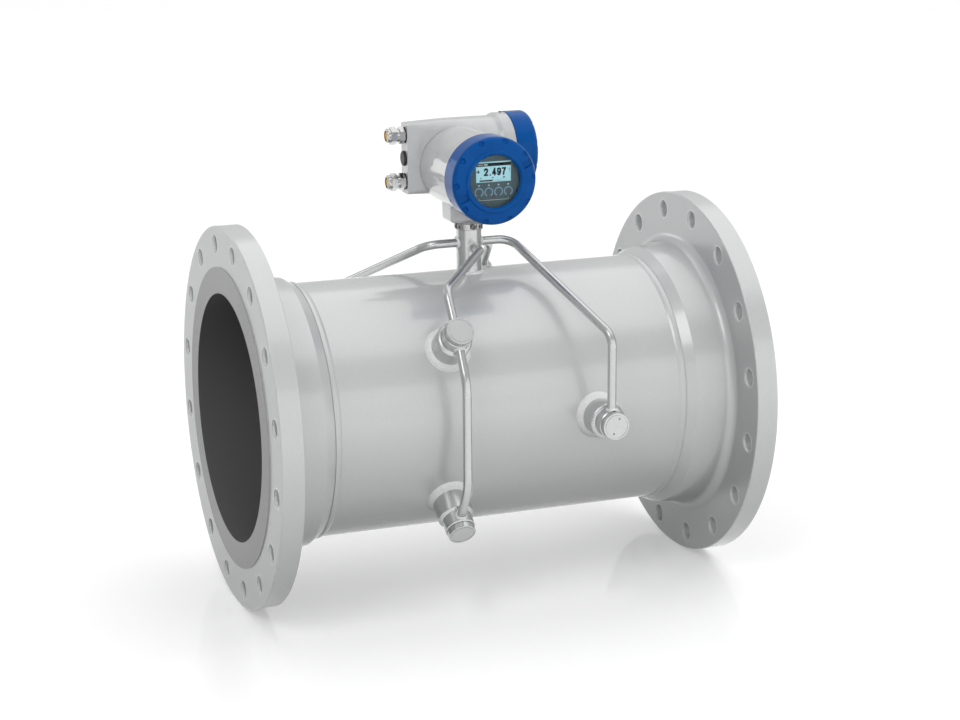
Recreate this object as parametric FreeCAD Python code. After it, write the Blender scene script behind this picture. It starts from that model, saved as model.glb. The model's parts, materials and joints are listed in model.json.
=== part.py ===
"""Ultrasonic flow meter: flanged spool, six sensor pockets, cable conduits and a swivelling converter head.

Frame: +X along the pipe from inlet to outlet, +Z up along the stem, the display faces -Y.
The origin is on the pipe axis, midway between the two flange faces. Millimetres.
"""
import FreeCAD, Part
import math
import os

V = FreeCAD.Vector
AXIS_X = V(1, 0, 0)
AXIS_Y = V(0, 1, 0)
AXIS_Z = V(0, 0, 1)
ORIGIN = V(0, 0, 0)

# Spool: a 16 inch pipe run with class 150 flanges. Hub steps are measured outwards from the tube's surface.
FACE_TO_FACE = 800.0
TUBE_OD = 400.0
TUBE_WALL = 6.35
FLANGE_OD = 596.9
FLANGE_T = 36.6
FLANGE_EDGE = 2.0
RAISED_H = 1.6
FACE_MARGIN = 20.625
BOLT_EDGE = 28.575
BOLT_HOLE_D = 28.6
BOLT_COUNT = 16
HUB_BASE_STEP = 19.3
HUB_SHOULDER_STEP = 11.0
HUB_TIP_STEP = 2.5
HUB_LAND_L = 59.4
HUB_CHAMFER_L = 15.0
HUB_ROUND = 3.0
HUB_FILLET = 15.0
GIRTH_WELD_W = 11.5
GIRTH_WELD_RISE = 1.2
WELD_ROOT = 2.4

# Sensor pockets: heights are measured outwards from the tube's surface.
TOP_POCKET_X = -95.5
POCKET_ANGLE = 36.2
MID_POCKET_X = 137.0
NOZZLE_D = 56.0
NOZZLE_L = 37.0
POCKET_D = 46.0
POCKET_L = 24.0
PORT_D = 32.0
CHAMBER_D = 36.0
CHAMBER_FLOOR = 4.0
POCKET_CHAMFER = 1.4
FOOT_BEAD_W = 9.0
FOOT_BEAD_H = 7.5
STEP_BEAD_H = 5.0
TRANSDUCER_FIT = 0.3
TRANSDUCER_COLLAR = 3.0
CONNECTOR_D = 12.0
CONNECTOR_H = 6.0
TRANSDUCER_EDGE = 0.8

# Sensor caps
CAP_D = 42.8
CAP_H = 9.1
CAP_SEAL_H = 1.0
CAP_SEAL_INSET = 0.6
CAP_RIM_W = 3.0
CAP_GROOVE_W = 0.9
CAP_GROOVE_DEPTH = 0.8
CAP_EDGE = 0.8
CAP_SPIGOT_L = 5.0
CAP_FIT = 0.3
SPANNER_HOLE_D = 3.0
SPANNER_HOLE_PITCH = 24.6
SPANNER_HOLE_DEPTH = 3.0
SPANNER_HOLE_TURN = 68.0

# Stem and collar
STEM_OD = 40.0
STEM_WALL = 3.5
STEM_H = 69.0
STEM_BEAD = 3.5
COLLAR_D = 45.0
COLLAR_H = 10.5
COLLAR_FLOOR = 3.0
COLLAR_BORE_D = 22.0
COLLAR_EDGE = 0.8
SPIGOT_D = 30.0
SWIVEL_FIT = 0.3
SWIVEL_GAP = 0.3
SCREW_TURN = -90.0
SCREW_SEAT_W = 12.0
SCREW_SEAT_DEPTH = 4.0
SCREW_HEAD_D = 9.0
SCREW_HEAD_L = 4.3
SCREW_HEAD_ROUND = 0.6
SCREW_SHANK_D = 4.0
SCREW_SOCKET_AF = 4.0
SCREW_SOCKET_DEPTH = 2.2
COLLAR_SCREW_COUNT = 4
COLLAR_SLOT_W = 3.2
COLLAR_SLOT_TURN = -135.0
COLLAR_HOLE_D = 4.4
COLLAR_HOLE_TURN = -60.0

# Cable conduits
CONDUIT_OD = 13.7
CONDUIT_ID = 9.3
CONDUIT_ENTRY = 52.0
SIDE_DROP = 22.0
FRONT_DROP = 27.0
FRONT_REACH = 30.0
FRONT_RUN = 76.0
FRONT_BEND = 9.0
SIDE_REACH = 50.0
SIDE_HEIGHT = 138.0
SIDE_BEND = 28.0
LINK_BEND = 60.0
LINK_INSET = 8.0

# Converter housing: a narrow gland block grown into a round terminal barrel, crossed by the display barrel.
DISPLAY_RISE = 82.7
DISPLAY_MOUTH = 77.0
BARREL_ROOT_D = 127.0
BARREL_MOUTH_D = 131.0
BARREL_BACK = 52.0
BARREL_LIP = 3.0
TERMINAL_LIFT = 17.0
TERMINAL_Y = 66.0
GLAND_FACE_X = -83.0
GLAND_FACE_W = 30.0
GLAND_FACE_H = 112.0
GLAND_FACE_DROP = 3.5
GLAND_FACE_ROUND = 3.5
WAIST_X = -20.0
WAIST_W = 52.0
WAIST_H = 118.0
WAIST_ROUND = 18.0
TERMINAL_ROOT_X = 40.0
TERMINAL_FLARE_X = 60.0
TERMINAL_FLARE_L = 8.0
TERMINAL_FLARE_ROUND = 8.0
TERMINAL_MOUTH_X = 86.0
TERMINAL_D = 121.0
TERMINAL_STEP = 4.0
MOUTH_EDGE = 0.8
HOUSING_WALL = 6.0
BLOCK_WALL = 7.5
SECTION_FLAT = 1.0
NECK_W = 74.0
NECK_DEPTH = 46.0
NECK_DRAFT = 2.5
NECK_ROUND = 5.0
NECK_BASE = 6.5
NECK_CHAMFER = 3.5
NECK_BORE_D = 20.0
FOOT_D = 59.0
FOOT_EDGE_D = 47.0
REAR_CAVITY_D = 66.0
REAR_CAVITY_X = -20.0
REAR_CAVITY_Y = 40.0
DISPLAY_FLOOR_Y = 6.0
TERMINAL_FLOOR_X = 36.0

# Screw covers: heights are measured outwards from the barrel mouth.
COVER_GAP = 0.3
COVER_FIT = 0.3
COVER_WALL = 7.0
COVER_EDGE = 1.0
SPIGOT_L = 15.0
SEAL_SECTION = 2.6
SEAL_SEAT = 1.4
FRONT_COVER_D = 136.4
FRONT_COVER_H = 46.0
FRONT_RIM_ROUND = 9.0
BEZEL_RISE = 2.5
BEZEL_W = 7.5
BEZEL_ROUND = 1.2
WINDOW_SINK = 4.0
WINDOW_VIEW_D = 81.0
WINDOW_D = 92.0
WINDOW_T = 5.0
WINDOW_LIP = 1.5
WINDOW_CONE_W = 3.0
WINDOW_FIT = 0.2
GASKET_T = 1.5
GASKET_W = 3.0
DIMPLE_COUNT = 10
DIMPLE_R = 5.0
DIMPLE_INSET = 4.5
DIMPLE_TURN = 3.0
NOTCH_W = 11.0
NOTCH_L = 15.0
NOTCH_GAP = 1.5
NOTCH_DEPTH = 3.5
NOTCH_TURN = 25.0
LOCK_HOLE_D = 5.0
LOCK_HOLE_H = 8.0
LOCK_DEPTH = 6.0
LOCK_SINK = 0.8
LOCK_TURN = 207.0
TERMINAL_COVER_D = 123.0
TERMINAL_COVER_H = 37.5
TERMINAL_COVER_ROUND = 10.0
TERMINAL_COVER_WALL = 5.0
TERMINAL_DISH_D = 78.0
TERMINAL_DISH = 3.0
TERMINAL_DISH_ROUND = 1.0
TERMINAL_COVER_CORNER = 3.0

# Inside the covers
ELECTRONICS_D = 90.0
ELECTRONICS_FOOT_D = 100.0
ELECTRONICS_FOOT_H = 8.0
ELECTRONICS_ROUND = 2.0
FASCIA_D = 86.0
FASCIA_T = 3.0
FASCIA_SETBACK = 1.0
LCD_W = 57.0
LCD_H = 31.5
LCD_RISE = 14.0
LCD_SINK = 0.6
TERMINAL_PLATE_FIT = 3.0
TERMINAL_PLATE_T = 4.0
TERMINAL_ROW_L = 66.0
TERMINAL_ROW_W = 15.0
TERMINAL_ROW_H = 12.0
TERMINAL_ROW_GAP = 12.0
TERMINAL_WAY_COUNT = 6
TERMINAL_SCREW_D = 6.0
TERMINAL_SCREW_DEPTH = 5.0

# Cable glands: heights are measured outwards from the gland face.
GLAND_PITCH = 74.0
GLAND_THREAD_D = 20.0
GLAND_THREAD_FIT = 0.2
GLAND_BORE_D = 15.0
GASKET_D = 26.0
GLAND_GASKET_T = 1.6
GLAND_BODY_AF = 24.0
GLAND_BODY_H = 8.5
GLAND_NECK_D = 21.0
GLAND_NECK_H = 9.0
GLAND_NUT_AF = 25.0
GLAND_NUT_H = 9.5
GLAND_DOME_H = 6.0
GLAND_MOUTH_D = 17.0
GLAND_NUT_GAP = 5.0
GLAND_FIT = 0.3
GLAND_HEX_ROUND = 1.1
GLAND_PLUG_SINK = 1.2
GLAND_PLUG_ROUND = 1.0
BLANK_D = 24.0
BLANK_H = 4.0
BLANK_ROUND = 2.5

# Heights and radii that follow from the sizes above.
TUBE_R = TUBE_OD / 2
BORE_D = TUBE_OD - 2 * TUBE_WALL
BORE_R = BORE_D / 2
BOLT_CIRCLE_D = FLANGE_OD - 2 * BOLT_EDGE
RAISED_D = BOLT_CIRCLE_D - BOLT_HOLE_D - 2 * FACE_MARGIN
FLANGE_BACK_X = FACE_TO_FACE / 2 - FLANGE_T
HUB_TIP_X = FLANGE_BACK_X - HUB_LAND_L - HUB_CHAMFER_L
WELD_X = HUB_TIP_X - GIRTH_WELD_W / 2
POCKET_TOP = TUBE_R + NOZZLE_L + POCKET_L
CAP_BASE = POCKET_TOP + CAP_SEAL_H
ENTRY_R = TUBE_R + CONDUIT_ENTRY
STEM_TOP_Z = TUBE_R + STEM_H
COLLAR_TOP_Z = STEM_TOP_Z + COLLAR_H
COLLAR_MID_Z = STEM_TOP_Z + COLLAR_H / 2
SCREW_SEAT_R = COLLAR_D / 2 - SCREW_SEAT_DEPTH
FOOT_Z = COLLAR_TOP_Z + SWIVEL_GAP
DISPLAY_Z = FOOT_Z + DISPLAY_RISE
TERMINAL_Z = DISPLAY_Z + TERMINAL_LIFT
DISPLAY_BORE_R = BARREL_MOUTH_D / 2 - HOUSING_WALL
TERMINAL_ROOT_R = TERMINAL_D / 2 - TERMINAL_STEP
TERMINAL_BORE_R = TERMINAL_ROOT_R - HOUSING_WALL
FRONT_SPIGOT_R = DISPLAY_BORE_R - COVER_FIT
TERMINAL_SPIGOT_R = TERMINAL_BORE_R - COVER_FIT
WINDOW_LEDGE = FRONT_COVER_H - WINDOW_SINK - WINDOW_LIP
WINDOW_BACK = WINDOW_LEDGE - WINDOW_T
FASCIA_TOP = WINDOW_BACK - GASKET_T - FASCIA_SETBACK
POCKET_SITES = {
    "top": (TOP_POCKET_X, POCKET_ANGLE),
    "bottom": (TOP_POCKET_X, -POCKET_ANGLE),
    "mid": (MID_POCKET_X, 0.0),
}


def corner_arc(before, corner, after, radius):
    """Start, middle and end of the arc that rounds a corner between two straight runs."""
    back = (before - corner).normalize()
    ahead = (after - corner).normalize()
    half = back.getAngle(ahead) / 2
    start = corner + back * (radius / math.tan(half))
    end = corner + ahead * (radius / math.tan(half))
    middle = corner + (back + ahead).normalize() * (radius / math.sin(half) - radius)
    return start, middle, end


def rounded_path(points, radii, closed):
    """Wire of straight runs through the points, with each corner rounded by its radius."""
    count = len(points)
    corners = []
    for i, (point, radius) in enumerate(zip(points, radii)):
        if radius:
            corners.append(corner_arc(points[i - 1], point, points[(i + 1) % count], radius))
        else:
            corners.append((point, None, point))
    edges = []
    for i, (start, middle, end) in enumerate(corners):
        if middle:
            edges.append(Part.Arc(start, middle, end).toShape())
        following = corners[(i + 1) % count][0]
        if (closed or i + 1 < count) and end.distanceToPoint(following) > 1e-6:
            edges.append(Part.makeLine(end, following))
    return Part.Wire(edges)


def turned(corners):
    """Solid of revolution about local Z from corners given as (radius, height) and, if rounded, a radius."""
    points = [V(corner[0], 0, corner[1]) for corner in corners]
    radii = [corner[2] if len(corner) > 2 else 0 for corner in corners]
    face = Part.Face(rounded_path(points, radii, True))
    return face.revolve(ORIGIN, AXIS_Z, 360)


def disc(radius, low, high):
    """Cylinder about local Z between two heights."""
    return Part.makeCylinder(radius, high - low, V(0, 0, low))


def centred_box(width, depth, low, high):
    """Box centred on local Z between two heights."""
    return Part.makeBox(width, depth, high - low, V(-width / 2, -depth / 2, low))


def hexagon(across_flats, low, high, corner_round=0.0):
    """Hexagonal prism about local Z, with its corners turned off at both ends when a rounding is given."""
    radius = across_flats / math.sqrt(3)
    points = [V(radius, 0, low)]
    for i in range(1, 7):
        angle = math.radians(60 * i)
        points.append(V(radius * math.cos(angle), radius * math.sin(angle), low))
    prism = Part.Face(Part.makePolygon(points)).extrude(V(0, 0, high - low))
    if corner_round:
        turning = turned([(0, low), (radius - corner_round, low), (radius, low + corner_round),
                          (radius, high - corner_round), (radius - corner_round, high), (0, high)])
        prism = prism.common(turning)
    return prism


def around(shape, count, start=0.0):
    """Copies of a shape spaced evenly about local Z."""
    copies = []
    for i in range(count):
        copy = shape.copy()
        copy.rotate(ORIGIN, AXIS_Z, start + 360.0 * i / count)
        copies.append(copy)
    return copies


def placed(shape, axis, angle, position):
    """Copy of a local shape turned about an axis through the origin and moved into place."""
    copy = shape.copy()
    copy.rotate(ORIGIN, axis, angle)
    copy.translate(position)
    return copy


def half_turn(shape):
    """The same piece on the other side of the meter, half a turn about the stem."""
    return placed(shape, AXIS_Z, 180, ORIGIN)


def on_tube(shape, x, angle):
    """Stand a local piece on the front of the tube, square to the pipe axis and raised by the angle."""
    return placed(shape, AXIS_X, 90 - angle, V(x, 0, 0))


def on_display(shape):
    """Set a local piece on the display axis, heights from the barrel mouth."""
    return placed(shape, AXIS_X, 90, V(0, -DISPLAY_MOUTH, DISPLAY_Z))


def on_terminal(shape):
    """Set a local piece on the terminal axis, heights from the barrel mouth."""
    return placed(shape, AXIS_Y, 90, V(TERMINAL_MOUTH_X, TERMINAL_Y, TERMINAL_Z))


def on_gland_face(shape, rise):
    """Set a local piece on the gland face, heights outwards from the face."""
    return placed(shape, AXIS_Y, -90, V(GLAND_FACE_X, TERMINAL_Y, TERMINAL_Z - GLAND_FACE_DROP + rise))


def pipe_solid(diameter, half_length):
    """Round bar on the pipe axis, as long as twice the half length."""
    return Part.makeCylinder(diameter / 2, 2 * half_length, V(-half_length, 0, 0), AXIS_X)


def outlet_flange():
    """Weld-neck flange with raised face, hub and bolt holes that straddle the vertical."""
    face = FACE_TO_FACE / 2
    body = turned([
        (BORE_R, WELD_X),
        (TUBE_R - WELD_ROOT, WELD_X),
        (TUBE_R + HUB_TIP_STEP, HUB_TIP_X),
        (TUBE_R + HUB_SHOULDER_STEP, FLANGE_BACK_X - HUB_LAND_L, HUB_ROUND),
        (TUBE_R + HUB_BASE_STEP, FLANGE_BACK_X, HUB_FILLET),
        (FLANGE_OD / 2, FLANGE_BACK_X, FLANGE_EDGE),
        (FLANGE_OD / 2, face - RAISED_H, FLANGE_EDGE),
        (RAISED_D / 2, face - RAISED_H),
        (RAISED_D / 2, face),
        (BORE_R, face),
    ])
    hole = Part.makeCylinder(BOLT_HOLE_D / 2, FLANGE_T * 2, V(BOLT_CIRCLE_D / 2, 0, face - FLANGE_T * 1.5))
    body = body.cut(around(hole, BOLT_COUNT, 180.0 / BOLT_COUNT))
    return placed(body, AXIS_Y, 90, ORIGIN)


def outlet_weld():
    """Girth weld that fills the groove between hub and tube and stands a little proud of both."""
    quarter = GIRTH_WELD_W / 4
    bead = turned([
        (TUBE_R - WELD_ROOT, WELD_X),
        (TUBE_R, WELD_X - 2 * quarter),
        (TUBE_R + HUB_TIP_STEP / 4 + GIRTH_WELD_RISE, WELD_X - quarter),
        (TUBE_R + HUB_TIP_STEP * 3 / 4 + GIRTH_WELD_RISE, WELD_X + quarter),
        (TUBE_R + HUB_TIP_STEP, WELD_X + 2 * quarter),
    ])
    return placed(bead, AXIS_Y, 90, ORIGIN)


def measuring_tube():
    """Tube between the girth welds, bevelled at both ends and drilled for the six transducers."""
    wall_x = WELD_X - GIRTH_WELD_W / 2
    tube = turned([
        (BORE_R, -WELD_X),
        (TUBE_R - WELD_ROOT, -WELD_X),
        (TUBE_R, -wall_x),
        (TUBE_R, wall_x),
        (TUBE_R - WELD_ROOT, WELD_X),
        (BORE_R, WELD_X),
    ])
    tube = placed(tube, AXIS_Y, 90, ORIGIN)
    ports = []
    for x, angle in POCKET_SITES.values():
        port = on_tube(disc(PORT_D / 2, BORE_R / 2, TUBE_R * 1.5), x, angle)
        ports += [port, half_turn(port)]
    return tube.cut(ports)


def pocket(x, angle, passages):
    """Nozzle and slimmer housing in one turned piece, saddled to the tube and drilled for its conduits."""
    step = TUBE_R + NOZZLE_L
    body = turned([
        (PORT_D / 2, BORE_R),
        (NOZZLE_D / 2, BORE_R),
        (NOZZLE_D / 2, step),
        (POCKET_D / 2, step),
        (POCKET_D / 2, POCKET_TOP - POCKET_CHAMFER),
        (POCKET_D / 2 - POCKET_CHAMFER, POCKET_TOP),
        (CHAMBER_D / 2, POCKET_TOP),
        (CHAMBER_D / 2, step + CHAMBER_FLOOR),
        (PORT_D / 2, step + CHAMBER_FLOOR),
    ])
    body = on_tube(body, x, angle)
    return body.cut([pipe_solid(TUBE_OD, FACE_TO_FACE)] + passages)


def pocket_beads(x, angle):
    """Weld bead at the nozzle's foot and the smaller bead at the step up to the housing."""
    inner = NOZZLE_D / 2
    step = TUBE_R + NOZZLE_L
    foot = turned([
        (inner, BORE_R),
        (inner + FOOT_BEAD_W, BORE_R),
        (inner + FOOT_BEAD_W, TUBE_R - FOOT_BEAD_H / 2),
        (inner + FOOT_BEAD_W * 0.75, TUBE_R + FOOT_BEAD_H * 0.55),
        (inner, TUBE_R + FOOT_BEAD_H),
    ])
    foot = on_tube(foot, x, angle).cut(pipe_solid(TUBE_OD, FACE_TO_FACE))
    shelf = turned([(POCKET_D / 2, step), (inner, step), (POCKET_D / 2, step + STEP_BEAD_H)])
    return [foot, on_tube(shelf, x, angle)]


def transducer(x, angle):
    """Stepped sensor that fills the port, rests on the chamber floor and ends flush with the bore."""
    floor = TUBE_R + NOZZLE_L + CHAMBER_FLOOR
    radius = PORT_D / 2 - TRANSDUCER_FIT
    shape = turned([
        (0, BORE_R + TRANSDUCER_FIT),
        (radius, BORE_R + TRANSDUCER_FIT),
        (radius, floor),
        (CHAMBER_D / 2 - TRANSDUCER_FIT, floor),
        (CHAMBER_D / 2 - TRANSDUCER_FIT, floor + TRANSDUCER_COLLAR, TRANSDUCER_EDGE),
        (CONNECTOR_D / 2, floor + TRANSDUCER_COLLAR),
        (CONNECTOR_D / 2, floor + TRANSDUCER_COLLAR + CONNECTOR_H, TRANSDUCER_EDGE),
        (0, floor + TRANSDUCER_COLLAR + CONNECTOR_H),
    ])
    return on_tube(shape, x, angle)


def cap_seal(x, angle):
    """Dark ring in the groove between the housing and its cap."""
    shape = turned([
        (CHAMBER_D / 2, POCKET_TOP),
        (CAP_D / 2 - CAP_SEAL_INSET, POCKET_TOP),
        (CAP_D / 2 - CAP_SEAL_INSET, CAP_BASE),
        (CHAMBER_D / 2, CAP_BASE),
    ])
    return on_tube(shape, x, angle)


def sensor_cap(x, angle, with_holes):
    """Screw cap with a thin groove inside its rim, and a spigot that screws into the chamber."""
    spigot = CHAMBER_D / 2 - CAP_FIT
    top = CAP_BASE + CAP_H
    rim = CAP_D / 2 - CAP_RIM_W
    shape = turned([
        (0, POCKET_TOP - CAP_SPIGOT_L),
        (spigot, POCKET_TOP - CAP_SPIGOT_L, CAP_EDGE),
        (spigot, CAP_BASE),
        (CAP_D / 2, CAP_BASE),
        (CAP_D / 2, top, CAP_EDGE),
        (rim, top),
        (rim, top - CAP_GROOVE_DEPTH),
        (rim - CAP_GROOVE_W, top - CAP_GROOVE_DEPTH),
        (rim - CAP_GROOVE_W, top),
        (0, top),
    ])
    if with_holes:
        foot = V(SPANNER_HOLE_PITCH / 2, 0, top - SPANNER_HOLE_DEPTH)
        hole = Part.makeCylinder(SPANNER_HOLE_D / 2, CAP_H, foot)
        shape = shape.cut(around(hole, 2, SPANNER_HOLE_TURN))
    return on_tube(shape, x, angle)


def conduit_route(name):
    """Points and bend radii of a conduit on the front side, from its first end to its last."""
    top_x, top_angle = POCKET_SITES["top"]
    mid_x = POCKET_SITES["mid"][0]
    lean = math.radians(top_angle)
    top = V(top_x, -ENTRY_R * math.cos(lean), ENTRY_R * math.sin(lean))
    bottom = V(top.x, top.y, -top.z)
    if name == "top":
        height = STEM_TOP_Z - FRONT_DROP
        rise = V(0, math.sin(lean), math.cos(lean)) * FRONT_RUN
        points = [V(0, -STEM_OD / 4, height), V(0, -STEM_OD / 2 - FRONT_REACH, height), top + rise, top]
        return points, [0, FRONT_BEND, SIDE_BEND, 0]
    if name == "link":
        knee = ENTRY_R * math.tan(lean / 2)
        front = LINK_INSET - ENTRY_R
        points = [top, V(top.x, front, knee), V(top.x, front, -knee), bottom]
        return points, [0, LINK_BEND, LINK_BEND, 0]
    height = STEM_TOP_Z - SIDE_DROP
    points = [
        V(STEM_OD / 4, 0, height),
        V(STEM_OD / 2 + SIDE_REACH, 0, height),
        V(mid_x, -ENTRY_R, SIDE_HEIGHT),
        V(mid_x, -ENTRY_R, 0),
    ]
    return points, [0, SIDE_BEND, SIDE_BEND, 0]


def bent_bar(name, diameter):
    """Round bar swept along a conduit's route."""
    points, radii = conduit_route(name)
    path = rounded_path(points, radii, False)
    start = Part.makeCircle(diameter / 2, points[0], points[1] - points[0])
    return path.makePipeShell([Part.Wire(start)], True, False)


def conduit(name):
    """Bent tube trimmed to the stem and to the pockets that it joins."""
    shape = bent_bar(name, CONDUIT_OD).cut(bent_bar(name, CONDUIT_ID))
    trims = [disc(STEM_OD / 2, TUBE_R / 2, STEM_TOP_Z)]
    for x, angle in POCKET_SITES.values():
        trims.append(on_tube(disc(POCKET_D / 2, TUBE_R, POCKET_TOP), x, angle))
    return shape.cut(trims)


def stem(passages):
    """Hollow stem saddled to the top of the tube, drilled where the conduits come in."""
    outer = disc(STEM_OD / 2, TUBE_R / 2, STEM_TOP_Z)
    inner = disc(STEM_OD / 2 - STEM_WALL, 0, STEM_TOP_Z * 2)
    return outer.cut([inner, pipe_solid(TUBE_OD, FACE_TO_FACE)] + passages)


def stem_weld():
    """Fillet weld round the stem's foot."""
    bead = turned([
        (STEM_OD / 2, TUBE_R - STEM_BEAD),
        (STEM_OD / 2 + STEM_BEAD, TUBE_R - STEM_BEAD),
        (STEM_OD / 2 + STEM_BEAD, TUBE_R - STEM_BEAD / 4),
        (STEM_OD / 2 + STEM_BEAD * 0.6, TUBE_R + STEM_BEAD * 0.5),
        (STEM_OD / 2, TUBE_R + STEM_BEAD),
    ])
    return bead.cut(pipe_solid(TUBE_OD, FACE_TO_FACE))


def stem_collar():
    """Slotted collar on the stem's top, with flat seats for the clamp screws and small tommy-bar holes."""
    ring = turned([
        (COLLAR_BORE_D / 2, STEM_TOP_Z),
        (COLLAR_D / 2, STEM_TOP_Z, COLLAR_EDGE),
        (COLLAR_D / 2, COLLAR_TOP_Z, COLLAR_EDGE),
        (SPIGOT_D / 2 + SWIVEL_FIT, COLLAR_TOP_Z),
        (SPIGOT_D / 2 + SWIVEL_FIT, STEM_TOP_Z + COLLAR_FLOOR),
        (COLLAR_BORE_D / 2, STEM_TOP_Z + COLLAR_FLOOR),
    ])
    seat = Part.makeBox(COLLAR_D, SCREW_SEAT_W, COLLAR_H, V(SCREW_SEAT_R, -SCREW_SEAT_W / 2, STEM_TOP_Z))
    slot = Part.makeBox(COLLAR_D, COLLAR_SLOT_W, COLLAR_H, V(SCREW_SEAT_R, -COLLAR_SLOT_W / 2, STEM_TOP_Z))
    hole = Part.makeCylinder(COLLAR_HOLE_D / 2, COLLAR_D, V(SCREW_SEAT_R, 0, COLLAR_MID_Z), AXIS_X)
    shank = Part.makeCylinder(SCREW_SHANK_D / 2, COLLAR_D, V(0, 0, COLLAR_MID_Z), AXIS_X)
    cuts = around(slot, COLLAR_SCREW_COUNT, COLLAR_SLOT_TURN)
    cuts += around(hole, COLLAR_SCREW_COUNT, COLLAR_HOLE_TURN)
    cuts += around(seat, COLLAR_SCREW_COUNT, SCREW_TURN)
    cuts += around(shank, COLLAR_SCREW_COUNT, SCREW_TURN)
    return ring.cut(cuts)


def collar_screws():
    """Socket-head clamp screws seated in the collar."""
    tip = SPIGOT_D / 2 + 2 * SWIVEL_FIT
    top = SCREW_SEAT_R + SCREW_HEAD_L
    screw = turned([
        (0, tip),
        (SCREW_SHANK_D / 2, tip),
        (SCREW_SHANK_D / 2, SCREW_SEAT_R),
        (SCREW_HEAD_D / 2, SCREW_SEAT_R),
        (SCREW_HEAD_D / 2, top, SCREW_HEAD_ROUND),
        (0, top),
    ])
    screw = screw.cut(hexagon(SCREW_SOCKET_AF, top - SCREW_SOCKET_DEPTH, top + SCREW_SOCKET_DEPTH))
    screw = placed(screw, AXIS_Y, 90, V(0, 0, COLLAR_MID_Z))
    return around(screw, COLLAR_SCREW_COUNT, SCREW_TURN)


def block_section(x, width, height, corner, drop):
    """Rounded rectangle across the terminal axis, its centre lowered by the drop."""
    low = V(x, TERMINAL_Y - width / 2, TERMINAL_Z - drop - height / 2)
    points = [low, low + V(0, width, 0), low + V(0, width, height), low + V(0, 0, height)]
    return rounded_path(points, [corner] * 4, True)


def gland_block(shrink):
    """Block that starts as a narrow upright rectangle and grows round, or its hollow when shrunk."""
    round_d = 2 * (TERMINAL_ROOT_R - shrink)
    sections = [
        block_section(GLAND_FACE_X + shrink, GLAND_FACE_W - 2 * shrink, GLAND_FACE_H - 2 * shrink,
                      max(GLAND_FACE_ROUND - shrink, 1.0), GLAND_FACE_DROP),
        block_section(WAIST_X, WAIST_W - 2 * shrink, WAIST_H - 2 * shrink,
                      WAIST_ROUND - shrink, GLAND_FACE_DROP),
        block_section(TERMINAL_ROOT_X, round_d, round_d, round_d / 2 - SECTION_FLAT, 0),
    ]
    return Part.makeLoft(sections, True, True)


def neck_section(width, depth, height):
    """Rounded rectangle across the stem axis."""
    points = [V(-width / 2, -depth / 2, height), V(width / 2, -depth / 2, height),
              V(width / 2, depth / 2, height), V(-width / 2, depth / 2, height)]
    return rounded_path(points, [NECK_ROUND] * 4, True)


def neck():
    """Drafted rectangular neck with a chamfered base, a round foot and the spigot for the collar."""
    base = FOOT_Z + NECK_BASE
    shoulder = base - NECK_CHAMFER
    underside = neck_section(NECK_W - 2 * NECK_CHAMFER, NECK_DEPTH - NECK_CHAMFER, shoulder)
    waist = neck_section(NECK_W, NECK_DEPTH, base)
    top = neck_section(NECK_W + 2 * NECK_DRAFT, NECK_DEPTH + 2 * NECK_DRAFT, DISPLAY_Z)
    walls = Part.makeLoft([underside, waist, top], True, True)
    foot = turned([
        (0, STEM_TOP_Z + COLLAR_FLOOR + SWIVEL_GAP),
        (SPIGOT_D / 2, STEM_TOP_Z + COLLAR_FLOOR + SWIVEL_GAP),
        (SPIGOT_D / 2, FOOT_Z),
        (FOOT_EDGE_D / 2, FOOT_Z),
        (FOOT_D / 2, shoulder),
        (FOOT_D / 2 - NECK_CHAMFER, shoulder + NECK_CHAMFER / 2),
        (0, shoulder + NECK_CHAMFER / 2),
    ])
    return [walls, foot]


def converter_housing():
    """One casting: gland block, terminal barrel, display barrel and neck, hollowed for both compartments."""
    barrel = on_display(turned([
        (0, -DISPLAY_MOUTH - BARREL_BACK),
        (BARREL_ROOT_D / 2, -DISPLAY_MOUTH - BARREL_BACK),
        (BARREL_MOUTH_D / 2, -BARREL_LIP),
        (BARREL_MOUTH_D / 2, 0, MOUTH_EDGE),
        (0, 0),
    ]))
    root = TERMINAL_ROOT_X - TERMINAL_MOUTH_X
    flare = TERMINAL_FLARE_X - TERMINAL_MOUTH_X
    terminal = on_terminal(turned([
        (0, root),
        (TERMINAL_ROOT_R, root),
        (TERMINAL_ROOT_R, flare, TERMINAL_FLARE_ROUND),
        (TERMINAL_D / 2, flare + TERMINAL_FLARE_L, TERMINAL_FLARE_ROUND),
        (TERMINAL_D / 2, 0, MOUTH_EDGE),
        (0, 0),
    ]))
    body = gland_block(0).fuse([barrel, terminal] + neck())
    display_hollow = on_display(disc(DISPLAY_BORE_R, -DISPLAY_MOUTH - DISPLAY_FLOOR_Y, DISPLAY_MOUTH))
    rear_hollow = placed(disc(REAR_CAVITY_D / 2, -REAR_CAVITY_Y, DISPLAY_MOUTH), AXIS_X, 90,
                         V(REAR_CAVITY_X, 0, DISPLAY_Z))
    floor = TERMINAL_FLOOR_X - TERMINAL_MOUTH_X
    terminal_hollow = on_terminal(disc(TERMINAL_BORE_R, floor, TERMINAL_MOUTH_X))
    wiring_corner = V(GLAND_FACE_X, TERMINAL_Y - GLAND_FACE_W / 2 + BLOCK_WALL, TERMINAL_Z - TERMINAL_D / 2)
    wiring_box = Part.makeBox(TERMINAL_FLOOR_X + 1 - GLAND_FACE_X, TERMINAL_D, TERMINAL_D, wiring_corner)
    wiring_hollow = gland_block(BLOCK_WALL).common(wiring_box)
    cable_way = disc(NECK_BORE_D / 2, STEM_TOP_Z, DISPLAY_Z)
    entries = []
    for rise in (GLAND_PITCH / 2, 0, -GLAND_PITCH / 2):
        entries.append(on_gland_face(disc(GLAND_THREAD_D / 2, -2 * BLOCK_WALL, BLOCK_WALL), rise))
    return body.cut([display_hollow, rear_hollow, terminal_hollow, wiring_hollow, cable_way] + entries)


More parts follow.
